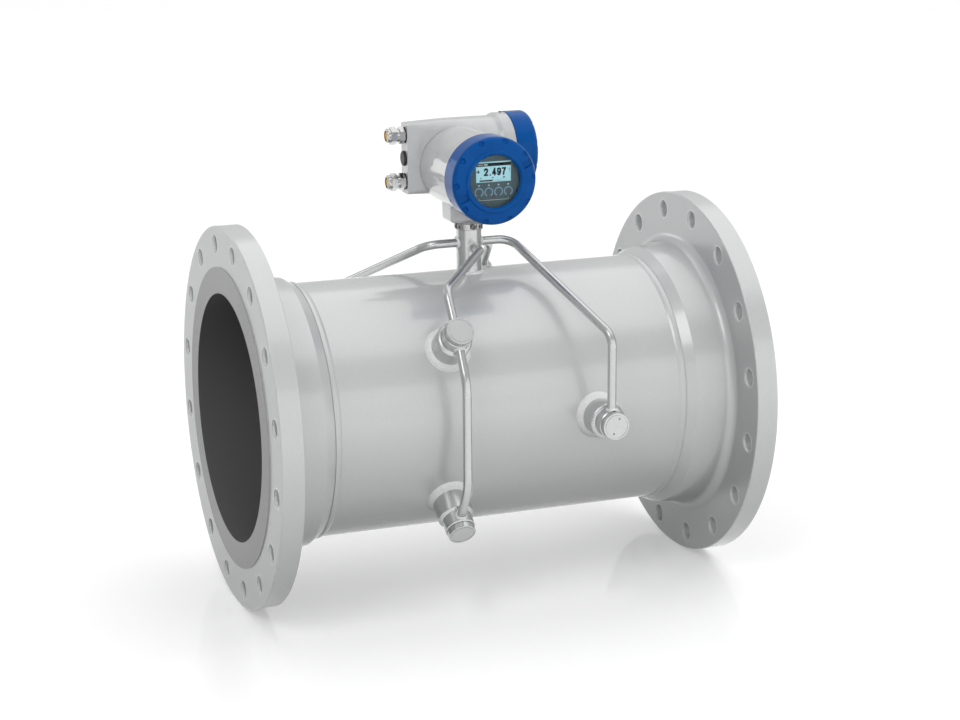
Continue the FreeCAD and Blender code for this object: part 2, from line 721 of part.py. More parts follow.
def rim_dimples(cover_d, height):
    """Round dimples sunk in a cover's rounded rim."""
    ball = Part.makeSphere(DIMPLE_R, V(cover_d / 2 - DIMPLE_INSET, 0, height))
    return around(ball, DIMPLE_COUNT, DIMPLE_TURN)


def front_cover():
    """Screw cover with a spigot, a rounded dimpled rim, two notches, a raised bezel and the window's seat."""
    outer = FRONT_COVER_D / 2
    plateau = FRONT_COVER_H - BEZEL_RISE
    bezel = WINDOW_VIEW_D / 2 + BEZEL_W
    seat = WINDOW_D / 2 + WINDOW_FIT
    groove = FRONT_SPIGOT_R - SEAL_SECTION
    bore = FRONT_SPIGOT_R - COVER_WALL
    shape = turned([
        (bore, -SPIGOT_L),
        (FRONT_SPIGOT_R, -SPIGOT_L, COVER_EDGE),
        (FRONT_SPIGOT_R, -SEAL_SEAT - SEAL_SECTION - 2 * COVER_FIT),
        (groove, -SEAL_SEAT - SEAL_SECTION - 2 * COVER_FIT),
        (groove, -SEAL_SEAT),
        (FRONT_SPIGOT_R, -SEAL_SEAT),
        (FRONT_SPIGOT_R, COVER_GAP),
        (outer, COVER_GAP, COVER_EDGE),
        (outer, plateau, FRONT_RIM_ROUND),
        (bezel, plateau, BEZEL_ROUND),
        (bezel, FRONT_COVER_H, BEZEL_ROUND),
        (WINDOW_VIEW_D / 2 + WINDOW_CONE_W, FRONT_COVER_H, BEZEL_ROUND),
        (WINDOW_VIEW_D / 2, FRONT_COVER_H - WINDOW_SINK),
        (WINDOW_VIEW_D / 2, WINDOW_LEDGE),
        (seat, WINDOW_LEDGE),
        (seat, WINDOW_BACK - 2 * GASKET_T),
        (bore, WINDOW_BACK - 2 * GASKET_T),
    ])
    notch_corner = V(bezel + NOTCH_GAP, -NOTCH_W / 2, plateau - NOTCH_DEPTH)
    notch = Part.makeBox(NOTCH_L, NOTCH_W, FRONT_COVER_H, notch_corner)
    lock = Part.makeCylinder(LOCK_HOLE_D / 2, LOCK_DEPTH, V(outer - LOCK_DEPTH, 0, LOCK_HOLE_H), AXIS_X)
    cuts = rim_dimples(FRONT_COVER_D, plateau)
    cuts += around(notch, 2, NOTCH_TURN) + around(lock, 1, LOCK_TURN)
    return on_display(shape.cut(cuts))


def cover_lock_screw():
    """Grub screw with a hex socket, sunk in the front cover's side."""
    outer = FRONT_COVER_D / 2
    screw = disc(LOCK_HOLE_D / 2, outer - LOCK_DEPTH, outer - LOCK_SINK)
    screw = screw.cut(hexagon(LOCK_HOLE_D / 2, outer - LOCK_DEPTH / 2, outer))
    screw = placed(screw, AXIS_Y, 90, V(0, 0, LOCK_HOLE_H))
    return on_display(around(screw, 1, LOCK_TURN)[0])


def cover_seal(spigot_radius):
    """Round-section ring that lies free in a cover's spigot groove."""
    section = (SEAL_SECTION - COVER_FIT) / 2
    middle = V(0, 0, -SEAL_SEAT - SEAL_SECTION / 2 - COVER_FIT)
    return Part.makeTorus(spigot_radius - section, section, middle)


def window():
    """Glass disc behind the front cover's lip."""
    return on_display(disc(WINDOW_D / 2, WINDOW_BACK, WINDOW_LEDGE))


def window_gasket():
    """Ring that holds the window in its seat."""
    seat = WINDOW_D / 2 + WINDOW_FIT
    ring = disc(seat, WINDOW_BACK - GASKET_T, WINDOW_BACK)
    return on_display(ring.cut(disc(seat - GASKET_W, 0, FRONT_COVER_H)))


def display_fascia():
    """Front panel with an opening for the liquid-crystal panel."""
    plate = disc(FASCIA_D / 2, FASCIA_TOP - FASCIA_T, FASCIA_TOP)
    opening = centred_box(LCD_W, LCD_H, 0, FRONT_COVER_H)
    opening.translate(V(0, LCD_RISE, 0))
    return on_display(plate.cut(opening))


def lcd_panel():
    """Liquid-crystal panel set a little below the fascia."""
    panel = centred_box(LCD_W, LCD_H, FASCIA_TOP - FASCIA_T, FASCIA_TOP - LCD_SINK)
    panel.translate(V(0, LCD_RISE, 0))
    return on_display(panel)


def electronics_unit():
    """Potted electronics cartridge from the compartment floor to the back of the fascia."""
    floor = -DISPLAY_MOUTH - DISPLAY_FLOOR_Y
    shape = turned([
        (0, floor),
        (ELECTRONICS_FOOT_D / 2, floor),
        (ELECTRONICS_FOOT_D / 2, floor + ELECTRONICS_FOOT_H, ELECTRONICS_ROUND / 2),
        (ELECTRONICS_D / 2, floor + ELECTRONICS_FOOT_H, ELECTRONICS_ROUND),
        (ELECTRONICS_D / 2, FASCIA_TOP - FASCIA_T, ELECTRONICS_ROUND),
        (0, FASCIA_TOP - FASCIA_T),
    ])
    return on_display(shape)


def terminal_cover():
    """Blind screw cover with a rounded dimpled rim and a shallow dish in its face."""
    outer = TERMINAL_COVER_D / 2
    groove = TERMINAL_SPIGOT_R - SEAL_SECTION
    bore = TERMINAL_SPIGOT_R - COVER_WALL
    face = TERMINAL_COVER_H
    shape = turned([
        (bore, -SPIGOT_L),
        (TERMINAL_SPIGOT_R, -SPIGOT_L, COVER_EDGE),
        (TERMINAL_SPIGOT_R, -SEAL_SEAT - SEAL_SECTION - 2 * COVER_FIT),
        (groove, -SEAL_SEAT - SEAL_SECTION - 2 * COVER_FIT),
        (groove, -SEAL_SEAT),
        (TERMINAL_SPIGOT_R, -SEAL_SEAT),
        (TERMINAL_SPIGOT_R, COVER_GAP),
        (outer, COVER_GAP, COVER_EDGE),
        (outer, face, TERMINAL_COVER_ROUND),
        (TERMINAL_DISH_D / 2 + TERMINAL_DISH, face, TERMINAL_DISH_ROUND),
        (TERMINAL_DISH_D / 2, face - TERMINAL_DISH, TERMINAL_DISH_ROUND),
        (0, face - TERMINAL_DISH),
        (0, face - TERMINAL_DISH - TERMINAL_COVER_WALL),
        (bore, face - TERMINAL_DISH - TERMINAL_COVER_WALL, TERMINAL_COVER_CORNER),
    ])
    return on_terminal(shape.cut(rim_dimples(TERMINAL_COVER_D, face)))


def terminal_block():
    """Mounting plate with two rows of screw terminals, seated on the terminal compartment's floor."""
    floor = TERMINAL_FLOOR_X - TERMINAL_MOUTH_X
    plate = disc(TERMINAL_BORE_R - TERMINAL_PLATE_FIT, floor, floor + TERMINAL_PLATE_T)
    top = floor + TERMINAL_PLATE_T + TERMINAL_ROW_H
    rows = []
    screws = []
    for side in (-1, 1):
        row = centred_box(TERMINAL_ROW_W, TERMINAL_ROW_L, floor, top)
        offset = V(side * (TERMINAL_ROW_W + TERMINAL_ROW_GAP) / 2, 0, 0)
        row.translate(offset)
        rows.append(row)
        for i in range(TERMINAL_WAY_COUNT):
            along = TERMINAL_ROW_L * ((i + 0.5) / TERMINAL_WAY_COUNT - 0.5)
            screw = disc(TERMINAL_SCREW_D / 2, top - TERMINAL_SCREW_DEPTH, top)
            screw.translate(offset + V(0, along, 0))
            screws.append(screw)
    return on_terminal(plate.fuse(rows).removeSplitter().cut(screws))


def gland_gaskets():
    """Sealing washers under the two gland bodies."""
    ring = disc(GASKET_D / 2, 0, GLAND_GASKET_T).cut(disc(GLAND_THREAD_D / 2, -1, GLAND_GASKET_T + 1))
    return [on_gland_face(ring, GLAND_PITCH / 2), on_gland_face(ring, -GLAND_PITCH / 2)]


def gland_body(rise):
    """Hexagonal gland body with its entry thread and the neck that takes the dome nut."""
    low = GLAND_GASKET_T
    shoulder = low + GLAND_BODY_H
    body = hexagon(GLAND_BODY_AF, low, shoulder, GLAND_HEX_ROUND)
    thread = disc(GLAND_THREAD_D / 2 - GLAND_THREAD_FIT, -HOUSING_WALL - GLAND_GASKET_T, low)
    collar = disc(GLAND_NECK_D / 2, shoulder, shoulder + GLAND_NECK_H)
    body = body.fuse([thread, collar]).cut(disc(GLAND_BORE_D / 2, -GLAND_FACE_W, GLAND_FACE_W))
    return on_gland_face(body, rise)


def gland_nut(rise):
    """Hexagonal dome nut over the gland body's neck."""
    low = GLAND_GASKET_T + GLAND_BODY_H + GLAND_NUT_GAP
    shoulder = low + GLAND_NUT_H
    top = shoulder + GLAND_DOME_H
    neck_r = GLAND_NECK_D / 2 + GLAND_FIT
    prism = hexagon(GLAND_NUT_AF, low, shoulder, GLAND_HEX_ROUND)
    dome = turned([
        (0, low + GLAND_HEX_ROUND),
        (GLAND_NUT_AF / 2 - GLAND_HEX_ROUND, low + GLAND_HEX_ROUND),
        (GLAND_NUT_AF / 2 - GLAND_HEX_ROUND, top, GLAND_DOME_H * 0.4),
        (GLAND_MOUTH_D / 2, top),
        (0, top),
    ])
    hollow = turned([
        (0, 0),
        (neck_r, 0),
        (neck_r, shoulder),
        (GLAND_MOUTH_D / 2, shoulder + GLAND_DOME_H / 2),
        (GLAND_MOUTH_D / 2, top + 1),
        (0, top + 1),
    ])
    return on_gland_face(prism.fuse(dome).cut(hollow), rise)


def gland_plug(rise):
    """Yellow plug that closes the gland's mouth."""
    top = GLAND_GASKET_T + GLAND_BODY_H + GLAND_NUT_GAP + GLAND_NUT_H + GLAND_DOME_H - GLAND_PLUG_SINK
    radius = GLAND_BORE_D / 2 - GLAND_FIT
    plug = turned([(0, GLAND_GASKET_T), (radius, GLAND_GASKET_T), (radius, top, GLAND_PLUG_ROUND), (0, top)])
    return on_gland_face(plug, rise)


def blanking_plug():
    """Round-headed push-in plug in the middle entry."""
    plug = turned([
        (0, -HOUSING_WALL),
        (GLAND_THREAD_D / 2 - GLAND_THREAD_FIT, -HOUSING_WALL),
        (GLAND_THREAD_D / 2 - GLAND_THREAD_FIT, 0),
        (BLANK_D / 2, 0),
        (BLANK_D / 2, BLANK_H, BLANK_ROUND),
        (0, BLANK_H),
    ])
    return on_gland_face(plug, 0)


def spool_parts():
    """Tube, flanges and girth welds."""
    flange = outlet_flange()
    weld = outlet_weld()
    return {
        "measuring_tube": measuring_tube(),
        "inlet_flange": half_turn(flange),
        "outlet_flange": flange,
        "girth_welds": Part.makeCompound([half_turn(weld), weld]),
    }


def sensor_parts():
    """Pockets, beads, transducers, seals and caps on both sides, with the stem and its conduits."""
    parts = {}
    passages = [bent_bar(name, CONDUIT_ID) for name in ("top", "link", "mid")]
    beads = []
    for site, (x, angle) in POCKET_SITES.items():
        pieces = {
            "sensor_pocket": pocket(x, angle, passages),
            "transducer": transducer(x, angle),
            "cap_seal": cap_seal(x, angle),
            "sensor_cap": sensor_cap(x, angle, site == "mid"),
        }
        for kind, shape in pieces.items():
            parts[f"{kind}_front_{site}"] = shape
            parts[f"{kind}_rear_{site}"] = half_turn(shape)
        for bead in pocket_beads(x, angle):
            beads += [bead, half_turn(bead)]
    for name in ("top", "link", "mid"):
        shape = conduit(name)
        parts[f"conduit_front_{name}"] = shape
        parts[f"conduit_rear_{name}"] = half_turn(shape)
    parts["pocket_welds"] = Part.makeCompound(beads)
    parts["stem"] = stem(passages + [half_turn(passage) for passage in passages])
    return parts


def stem_parts():
    """Foot weld, collar and clamp screws of the stem."""
    return {
        "stem_weld": stem_weld(),
        "stem_collar": stem_collar(),
        "collar_screws": Part.makeCompound(collar_screws()),
    }


def head_parts():
    """Converter head with its covers, glands and inner units."""
    parts = {
        "converter_housing": converter_housing(),
        "electronics_unit": electronics_unit(),
        "display_fascia": display_fascia(),
        "lcd_panel": lcd_panel(),
        "front_cover": front_cover(),
        "front_cover_seal": on_display(cover_seal(FRONT_SPIGOT_R)),
        "cover_lock_screw": cover_lock_screw(),
        "window": window(),
        "window_gasket": window_gasket(),
        "terminal_block": terminal_block(),
        "terminal_cover": terminal_cover(),
        "terminal_cover_seal": on_terminal(cover_seal(TERMINAL_SPIGOT_R)),
        "gland_gaskets": Part.makeCompound(gland_gaskets()),
        "blanking_plug": blanking_plug(),
    }
    for name, rise in (("upper", GLAND_PITCH / 2), ("lower", -GLAND_PITCH / 2)):
        parts[f"gland_body_{name}"] = gland_body(rise)
        parts[f"gland_nut_{name}"] = gland_nut(rise)
        parts[f"gland_plug_{name}"] = gland_plug(rise)
    return parts


def main():
    """Write each piece to its own file."""
    os.makedirs("parts", exist_ok=True)
    for group in (spool_parts(), sensor_parts(), stem_parts(), head_parts()):
        for name, shape in group.items():
            shape.exportStep(f"parts/{name}.step")


main()
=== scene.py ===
"""Looks of the ultrasonic flow meter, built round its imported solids.

Frame, in metres: +X along the pipe from inlet to outlet, +Z up along the stem, the display faces -Y.
"""
import json
import logging
import math
from dataclasses import dataclass, field
from enum import Enum
from typing import Any, Sequence

import bmesh
import bpy
from bpy.types import Material, Mesh, Node, NodeSocket, NodeTree, Object
from mathutils import Matrix, Vector
from mathutils.bvhtree import BVHTree

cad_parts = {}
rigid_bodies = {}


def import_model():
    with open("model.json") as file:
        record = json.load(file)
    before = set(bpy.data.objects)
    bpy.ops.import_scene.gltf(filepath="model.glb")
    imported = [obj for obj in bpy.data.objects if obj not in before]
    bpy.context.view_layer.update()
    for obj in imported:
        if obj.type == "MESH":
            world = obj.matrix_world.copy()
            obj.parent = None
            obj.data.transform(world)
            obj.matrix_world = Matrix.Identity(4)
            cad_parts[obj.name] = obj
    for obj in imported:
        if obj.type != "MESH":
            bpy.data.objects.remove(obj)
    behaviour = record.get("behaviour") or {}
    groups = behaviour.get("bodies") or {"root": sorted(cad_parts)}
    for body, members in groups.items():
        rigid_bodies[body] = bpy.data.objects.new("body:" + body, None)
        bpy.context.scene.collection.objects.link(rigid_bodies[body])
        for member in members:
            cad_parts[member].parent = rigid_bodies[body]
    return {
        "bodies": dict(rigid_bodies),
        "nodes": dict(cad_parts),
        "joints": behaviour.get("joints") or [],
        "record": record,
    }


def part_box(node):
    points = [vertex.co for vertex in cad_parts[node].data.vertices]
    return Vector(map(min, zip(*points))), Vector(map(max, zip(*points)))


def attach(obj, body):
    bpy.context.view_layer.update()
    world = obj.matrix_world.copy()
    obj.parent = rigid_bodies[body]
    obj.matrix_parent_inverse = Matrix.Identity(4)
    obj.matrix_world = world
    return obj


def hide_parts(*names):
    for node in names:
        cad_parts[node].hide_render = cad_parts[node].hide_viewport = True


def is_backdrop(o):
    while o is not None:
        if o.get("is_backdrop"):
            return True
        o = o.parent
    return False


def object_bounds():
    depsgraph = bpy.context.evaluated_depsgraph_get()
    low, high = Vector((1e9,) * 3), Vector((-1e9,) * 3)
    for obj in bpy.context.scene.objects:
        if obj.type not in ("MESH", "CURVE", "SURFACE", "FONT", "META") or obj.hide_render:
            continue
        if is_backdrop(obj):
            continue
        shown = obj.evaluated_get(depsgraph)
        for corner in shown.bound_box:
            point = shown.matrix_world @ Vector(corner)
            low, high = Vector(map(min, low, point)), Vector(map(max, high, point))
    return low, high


MM = 0.001
ORIGIN = Vector((0, 0, 0))
AXIS_X = Vector((1, 0, 0))
AXIS_Y = Vector((0, 1, 0))
AXIS_Z = Vector((0, 0, 1))
WHITE = "#ffffff"
LOG = logging.getLogger("flow_meter")
# Corners of a unit square about its middle, in order round it.
SQUARE = ((-0.5, -0.5), (0.5, -0.5), (0.5, 0.5), (-0.5, 0.5))
# The span that most of a noise pattern lies in.
PATTERN_LOW = 0.3
PATTERN_HIGH = 0.7
# Edges that turn by more than this stay crisp.
CRISP_DEG = 50
# Strokes of the large figures, as shares of their width and height.
FIGURES = {
    "2": ((0.0, 0.74), (0.14, 0.94), (0.5, 1.0), (0.86, 0.94), (1.0, 0.74), (0.86, 0.5), (0.0, 0.0),
          (1.0, 0.0)),
    "4": ((0.72, 0.0), (0.72, 1.0), (0.0, 0.26), (1.0, 0.26)),
    "7": ((0.0, 1.0), (1.0, 1.0), (0.5, 0.45), (0.36, 0.0)),
    "9": ((0.04, 0.1), (0.34, 0.0), (0.66, 0.03), (0.94, 0.28), (1.0, 0.66), (0.88, 0.92), (0.5, 1.0),
          (0.12, 0.92), (0.0, 0.68), (0.14, 0.46), (0.5, 0.38), (0.94, 0.52)),
}


class Side(Enum):
    """The two sides of the pipe that carry sensors."""

    FRONT = "front"
    REAR = "rear"


class Site(Enum):
    """Where a sensor pocket sits on its side of the pipe."""

    TOP = "top"
    BOTTOM = "bottom"
    MID = "mid"


class Run(Enum):
    """The three bent conduits on each side."""

    TOP = "top"
    LINK = "link"
    MID = "mid"


def linear(hex_colour: str) -> tuple[float, float, float, float]:
    """Turn an sRGB hex colour into a linear one.

    Args:
        hex_colour: Six hex digits after a hash sign.

    Returns:
        Red, green and blue, linear, with full opacity.
    """
    channels = [int(hex_colour[i:i + 2], 16) / 255 for i in (1, 3, 5)]
    red, green, blue = [c / 12.92 if c <= 0.04045 else ((c + 0.055) / 1.055) ** 2.4 for c in channels]
    return red, green, blue, 1.0


def spoke(angle: float) -> Vector:
    """Unit vector square to the pipe, at an angle from +Y towards +Z."""
    return Vector((0, math.cos(angle), math.sin(angle)))


def heading(azimuth_deg: float, elevation_deg: float) -> Vector:
    """Point from the meter towards a place in the studio.

    Args:
        azimuth_deg: Turn about the stem, from -Y towards +X.
        elevation_deg: Rise above the floor.

    Returns:
        The unit direction.
    """
    a = math.radians(azimuth_deg)
    e = math.radians(elevation_deg)
    return Vector((math.sin(a) * math.cos(e), -math.cos(a) * math.cos(e), math.sin(e)))


def add_node(tree: NodeTree, kind: str, settings: dict[Any, Any] | None = None,
             links: dict[Any, Node | NodeSocket] | None = None) -> Node:
    """Add a node with its settings and links.

    Args:
        tree: The node tree to add to.
        kind: Blender's name for the node type.
        settings: Values for input sockets, by name or number, or for the node's own fields.
        links: What feeds an input, by its name or number: a socket, or a node for its first output.

    Returns:
        The new node.
    """
    node = tree.nodes.new(kind)
    for key, value in (settings or {}).items():
        if isinstance(key, int) or key in node.inputs:
            node.inputs[key].default_value = value
        else:
            setattr(node, key, value)
    for key, source in (links or {}).items():
        tree.links.new(source if isinstance(source, NodeSocket) else source.outputs[0], node.inputs[key])
    return node


@dataclass(frozen=True)
class Finish:
    """A surface made of one Principled shader, evenly coloured unless a subclass says more."""

    name: str
    colour: str
    roughness: float
    metallic: float = 0.0
    ior: float = 1.5
    specular: float = 0.5
    coat: float = 0.0
    coat_roughness: float = 0.05
    coat_ior: float = 1.5
    transmission: float = 0.0
    glow: float = 0.0

    def build(self) -> Material:
        """Make the material.

        Returns:
            The finished node material.
        """
        material = bpy.data.materials.new(self.name)
        material.use_nodes = True
        shader = material.node_tree.nodes["Principled BSDF"]
        values = {
            "Base Color": linear(self.colour),
            "Roughness": self.roughness,
            "Metallic": self.metallic,
            "IOR": self.ior,
            "Specular IOR Level": self.specular,
            "Coat Weight": self.coat,
            "Coat Roughness": self.coat_roughness,
            "Coat IOR": self.coat_ior,
            "Transmission Weight": self.transmission,
            "Emission Color": linear(self.colour),
            "Emission Strength": self.glow,
        }
        for socket, value in values.items():
            shader.inputs[socket].default_value = value
        self.dress(material.node_tree, shader)
        return material

    def dress(self, tree: NodeTree, shader: Node) -> None:
        """Leave the plain finish as it is."""

    def pattern(self, tree: NodeTree, size_mm: float, detail: float = 2.0) -> Node:
        """Spread soft blobs of a real size over the surface.

        Args:
            tree: The material's node tree.
            size_mm: Typical width of a blob.
            detail: Octaves of finer noise.

        Returns:
            The pattern, from 0 to 1.
        """
        place = add_node(tree, "ShaderNodeTexCoord").outputs["Object"]
        return add_node(tree, "ShaderNodeTexNoise", {"Scale": 1 / (size_mm * MM), "Detail": detail},
                        {"Vector": place})

    def relieve(self, tree: NodeTree, shader: Node, height: Node, depth_mm: float,
                layers: Sequence[str] = ("Normal",)) -> None:
        """Raise a pattern into relief, over any relief that is there.

        Args:
            tree: The material's node tree.
            shader: Its Principled shader.
            height: The pattern.
            depth_mm: Relief between the pattern's 0 and 1.
            layers: The shader's normals that follow the relief.
        """
        relief = add_node(tree, "ShaderNodeBump", {"Distance": depth_mm * MM}, {"Height": height})
        for layer in layers:
            if shader.inputs[layer].is_linked:
                tree.links.new(shader.inputs[layer].links[0].from_socket, relief.inputs["Normal"])
            tree.links.new(relief.outputs["Normal"], shader.inputs[layer])


@dataclass(frozen=True, kw_only=True)
class Mottled(Finish):
    """A surface whose colour wanders between two near tones."""

    dark: str
    light: str

    def tint(self, tree: NodeTree, shader: Node, height: Node) -> None:
        """Let a pattern carry the colour from the dark tone to the light one.

        Args:
            tree: The material's node tree.
            shader: Its Principled shader.
            height: The pattern.
        """
        share = add_node(tree, "ShaderNodeMapRange", {"From Min": PATTERN_LOW, "From Max": PATTERN_HIGH},
                         {"Value": height})
        tone = add_node(tree, "ShaderNodeMix",
                        {"data_type": "RGBA", 6: linear(self.dark), 7: linear(self.light)}, {0: share})
        tree.links.new(tone.outputs[2], shader.inputs["Base Color"])


@dataclass(frozen=True, kw_only=True)
class SprayedCoat(Mottled):
    """Sprayed lacquer or baked powder: colour that wanders a little under a faintly uneven gloss skin."""

    tone_mm: float
    skin_mm: float
    skin_depth_mm: float
    octaves: float

    def dress(self, tree: NodeTree, shader: Node) -> None:
        """Add the wander of the colour and the unevenness of the skin.

        Args:
            tree: The material's node tree.
            shader: Its Principled shader.
        """
        self.tint(tree, shader, self.pattern(tree, self.tone_mm, self.octaves))
        self.relieve(tree, shader, self.pattern(tree, self.skin_mm, self.octaves), self.skin_depth_mm,
                     ("Normal", "Coat Normal"))


@dataclass(frozen=True, kw_only=True)
class SpoolCoat(SprayedCoat):
    """The silver lacquer with satin plate faces, bare turned sealing faces and a darker grey in the bore."""

    # Limits of the zones: bore, raised face, its plane, and how squarely a plate faces the pipe's end.
    bore_radius_mm: float = 194.3
    face_radius_mm: float = 235.2
    face_x_mm: float = 399.6
    plate_lean: float = 0.97
    # Real grooves are half as wide; they are drawn this coarse so that they show.
    groove_mm: float = 1.6
    groove_depth_mm: float = 0.05
    # A darker grey for the inside of the bore, and its roughness.
    bore_grey: str = "#626262"
    bore_grey_roughness: float = 0.55
    steel: str = "#7a7a7a"
    steel_metallic: float = 0.9
    plate: str = "#bfc1c1"
    plate_coat: float = 0.25

    def zones(self, tree: NodeTree) -> tuple[NodeSocket, Node, Node, Node]:
        """Find the zones that differ from the lacquer.

        Args:
            tree: The material's node tree.

        Returns:
            Distance from the pipe's axis, and masks of the bore, the sealing faces and the plates' faces.
        """
        place = add_node(tree, "ShaderNodeTexCoord")
        across = add_node(tree, "ShaderNodeVectorMath", {"operation": "MULTIPLY", 1: (0, 1, 1)},
                          {0: place.outputs["Object"]})
        length = add_node(tree, "ShaderNodeVectorMath", {"operation": "LENGTH"}, {0: across})
        radius = length.outputs["Value"]
        axial = {}
        for source in ("Object", "Normal"):
            axes = add_node(tree, "ShaderNodeSeparateXYZ", {}, {"Vector": place.outputs[source]})
            axial[source] = add_node(tree, "ShaderNodeMath", {"operation": "ABSOLUTE"}, {0: axes})
        limits = (
            (radius, "LESS_THAN", self.bore_radius_mm * MM),
            (radius, "LESS_THAN", self.face_radius_mm * MM),
            (axial["Object"], "GREATER_THAN", self.face_x_mm * MM),
            (axial["Normal"], "GREATER_THAN", self.plate_lean),
        )
        bore, within, at_end, plate = [
            add_node(tree, "ShaderNodeMath", {"operation": test, 1: limit}, {0: source})
            for source, test, limit in limits]
        face = add_node(tree, "ShaderNodeMath", {"operation": "MULTIPLY"}, {0: within, 1: at_end})
        return radius, bore, face, plate

    def dress(self, tree: NodeTree, shader: Node) -> None:
        """Lay the zones over the lacquer and groove the sealing faces.

        Args:
            tree: The material's node tree.
            shader: Its Principled shader.
        """
        super().dress(tree, shader)
        radius, bore, face, plate = self.zones(tree)
        colour = shader.inputs["Base Color"].links[0].from_socket
        for zone, tone in ((plate, self.plate), (face, self.steel), (bore, self.bore_grey)):
            colour = add_node(tree, "ShaderNodeMix", {"data_type": "RGBA", 7: linear(tone)},
                              {0: zone, 6: colour}).outputs[2]
        tree.links.new(colour, shader.inputs["Base Color"])
        amounts = {
            "Metallic": ((face, self.steel_metallic), (bore, 0.0)),
            "Roughness": ((bore, self.bore_grey_roughness),),
            "Coat Weight": ((plate, self.plate_coat), (face, 0.0), (bore, 0.0)),
        }
        for name, layers in amounts.items():
            socket = shader.inputs[name]
            for zone, amount in layers:
                mix = add_node(tree, "ShaderNodeMix", {2: socket.default_value, 3: amount}, {0: zone})
                if socket.is_linked:
                    tree.links.new(socket.links[0].from_socket, mix.inputs[2])
                tree.links.new(mix.outputs[0], socket)
        turns = add_node(tree, "ShaderNodeMath",
                         {"operation": "MULTIPLY", 1: math.tau / (self.groove_mm * MM)}, {0: radius})
        wave = add_node(tree, "ShaderNodeMath", {"operation": "SINE"}, {0: turns})
        grooves = add_node(tree, "ShaderNodeMath", {"operation": "MULTIPLY"}, {0: wave, 1: face})
        self.relieve(tree, shader, grooves, self.groove_depth_mm)


@dataclass(frozen=True, kw_only=True)
class TurnedMetal(Mottled):
    """Metal turned on a lathe or brushed: bright, with fine smears that break up its reflections."""

    # Real tool marks are finer; they are drawn this coarse so that they show.
    grain_mm: float = 0.7
    grain_depth_mm: float = 0.01
    octaves: float = 3.0

    def dress(self, tree: NodeTree, shader: Node) -> None:
        """Add tool marks to the colour and the relief.

        Args:
            tree: The material's node tree.
            shader: Its Principled shader.
        """
        grain = self.pattern(tree, self.grain_mm, self.octaves)
        self.tint(tree, shader, grain)
        self.relieve(tree, shader, grain, self.grain_depth_mm)


@dataclass(frozen=True, kw_only=True)
class Moulded(Finish):
    """Moulded plastic or rubber: even colour with a fine spark-eroded grain."""

    # A real mould's grain is finer; it is drawn this coarse so that it shows.
    grain_mm: float = 0.8
    grain_depth_mm: float = 0.02
    wear: float = 0.06

    def dress(self, tree: NodeTree, shader: Node) -> None:
        """Add the mould's grain to the relief and the gloss.

        Args:
            tree: The material's node tree.
            shader: Its Principled shader.
        """
        grain = self.pattern(tree, self.grain_mm)
        self.relieve(tree, shader, grain, self.grain_depth_mm)
        gloss = add_node(tree, "ShaderNodeMapRange",
                         {"To Min": self.roughness - self.wear, "To Max": self.roughness + self.wear},
                         {"Value": grain})
        tree.links.new(gloss.outputs["Result"], shader.inputs["Roughness"])


# Sprayed silver lacquer: flake glitter, drawn far coarser than it is so that it shows, under a slow ripple.
LACQUER = {"coat": 1.0, "coat_roughness": 0.015, "tone_mm": 0.9, "skin_mm": 9.0, "skin_depth_mm": 0.02,
           "octaves": 2.0}
# On the pipe and its flanges: an even silver grey with sharp reflections on top.
SPOOL_COAT = SpoolCoat("silver_lacquer_spool", "#cdcfcf", 0.34, 0.22, dark="#c7c9c9", light="#d2d4d4",
                       **LACQUER)
# Thin over a machined edge, painted paler than the lacquer as a painted highlight, so that the edge draws a
# bright line.
EDGE_HIGHLIGHT = SprayedCoat("silver_lacquer_edge_painted_highlight", "#eceeee", 0.25, dark="#e4e6e6", light="#f4f6f6", **LACQUER)
# Baked gloss powder coat: an even colour that drifts slowly under a faintly pebbled skin.
POWDER = {"coat": 1.0, "tone_mm": 30.0, "skin_mm": 1.6, "octaves": 1.0}
# On the casting: smooth grey with clear reflections of the lights.
HOUSING = SprayedCoat("powder_coat_light_grey", "#c3c5c6", 0.4, coat_roughness=0.02, skin_depth_mm=0.003,
                      dark="#c0c2c3", light="#c7c9ca", **POWDER)
# On the covers: a deep blue, which keeps its colour face on and pales at a glance.
COVER = SprayedCoat("powder_coat_blue", "#00529f", 0.4, specular=0.05, coat_roughness=0.03, coat_ior=1.15,
                    skin_depth_mm=0.008, dark="#004f9a", light="#0056a4", **POWDER)
# Brushed steel: strong light and dark bands, softened by the brushing.
BRUSHED = TurnedMetal("brushed_stainless_steel", "#c6c7c7", 0.24, 0.8, dark="#bcbdbd", light="#d0d1d1")
# Weld bead: pale and rough, so that each ripple catches the light; its near-white colour is partly a painted
# highlight.
WELD_AND_HIGHLIGHT = TurnedMetal("pale_weld_bead_painted_highlight", "#eeefee", 0.38, 0.1, dark="#dcdddc", light="#fdfefd",
                   grain_mm=1.5, grain_depth_mm=0.35)
# Turned steel: bright, with faint tool smears.
STEEL = TurnedMetal("turned_stainless_steel", "#b4b4b3", 0.27, 1.0, dark="#a3a3a2", light="#c6c6c5")
# Nickel plate over turned brass: a clear, neutral mirror.
NICKEL = TurnedMetal("nickel_plated_brass", "#c4c4c3", 0.2, 1.0, dark="#b4b4b3", light="#d3d3d2",
                     grain_depth_mm=0.004)
# Blackened steel: dark, with dull highlights.
SCREW = TurnedMetal("black_oxide_steel", "#6f7070", 0.35, 1.0, dark="#5c5d5d", light="#808181")
# Moulded rubbers and plastics: even colour with a soft, broad shine.
RUBBER = Moulded("moulded_black_rubber", "#141414", 0.6)
BLACK_PLASTIC = Moulded("moulded_black_polyamide", "#1a1a1b", 0.45)
YELLOW_PLASTIC = Moulded("moulded_yellow_polyethylene", "#e3b01c", 0.4)
GREY_PLASTIC = Moulded("moulded_grey_polyamide", "#707574", 0.5)
POTTING = Moulded("cast_potting_resin", "#1d1e20", 0.5)
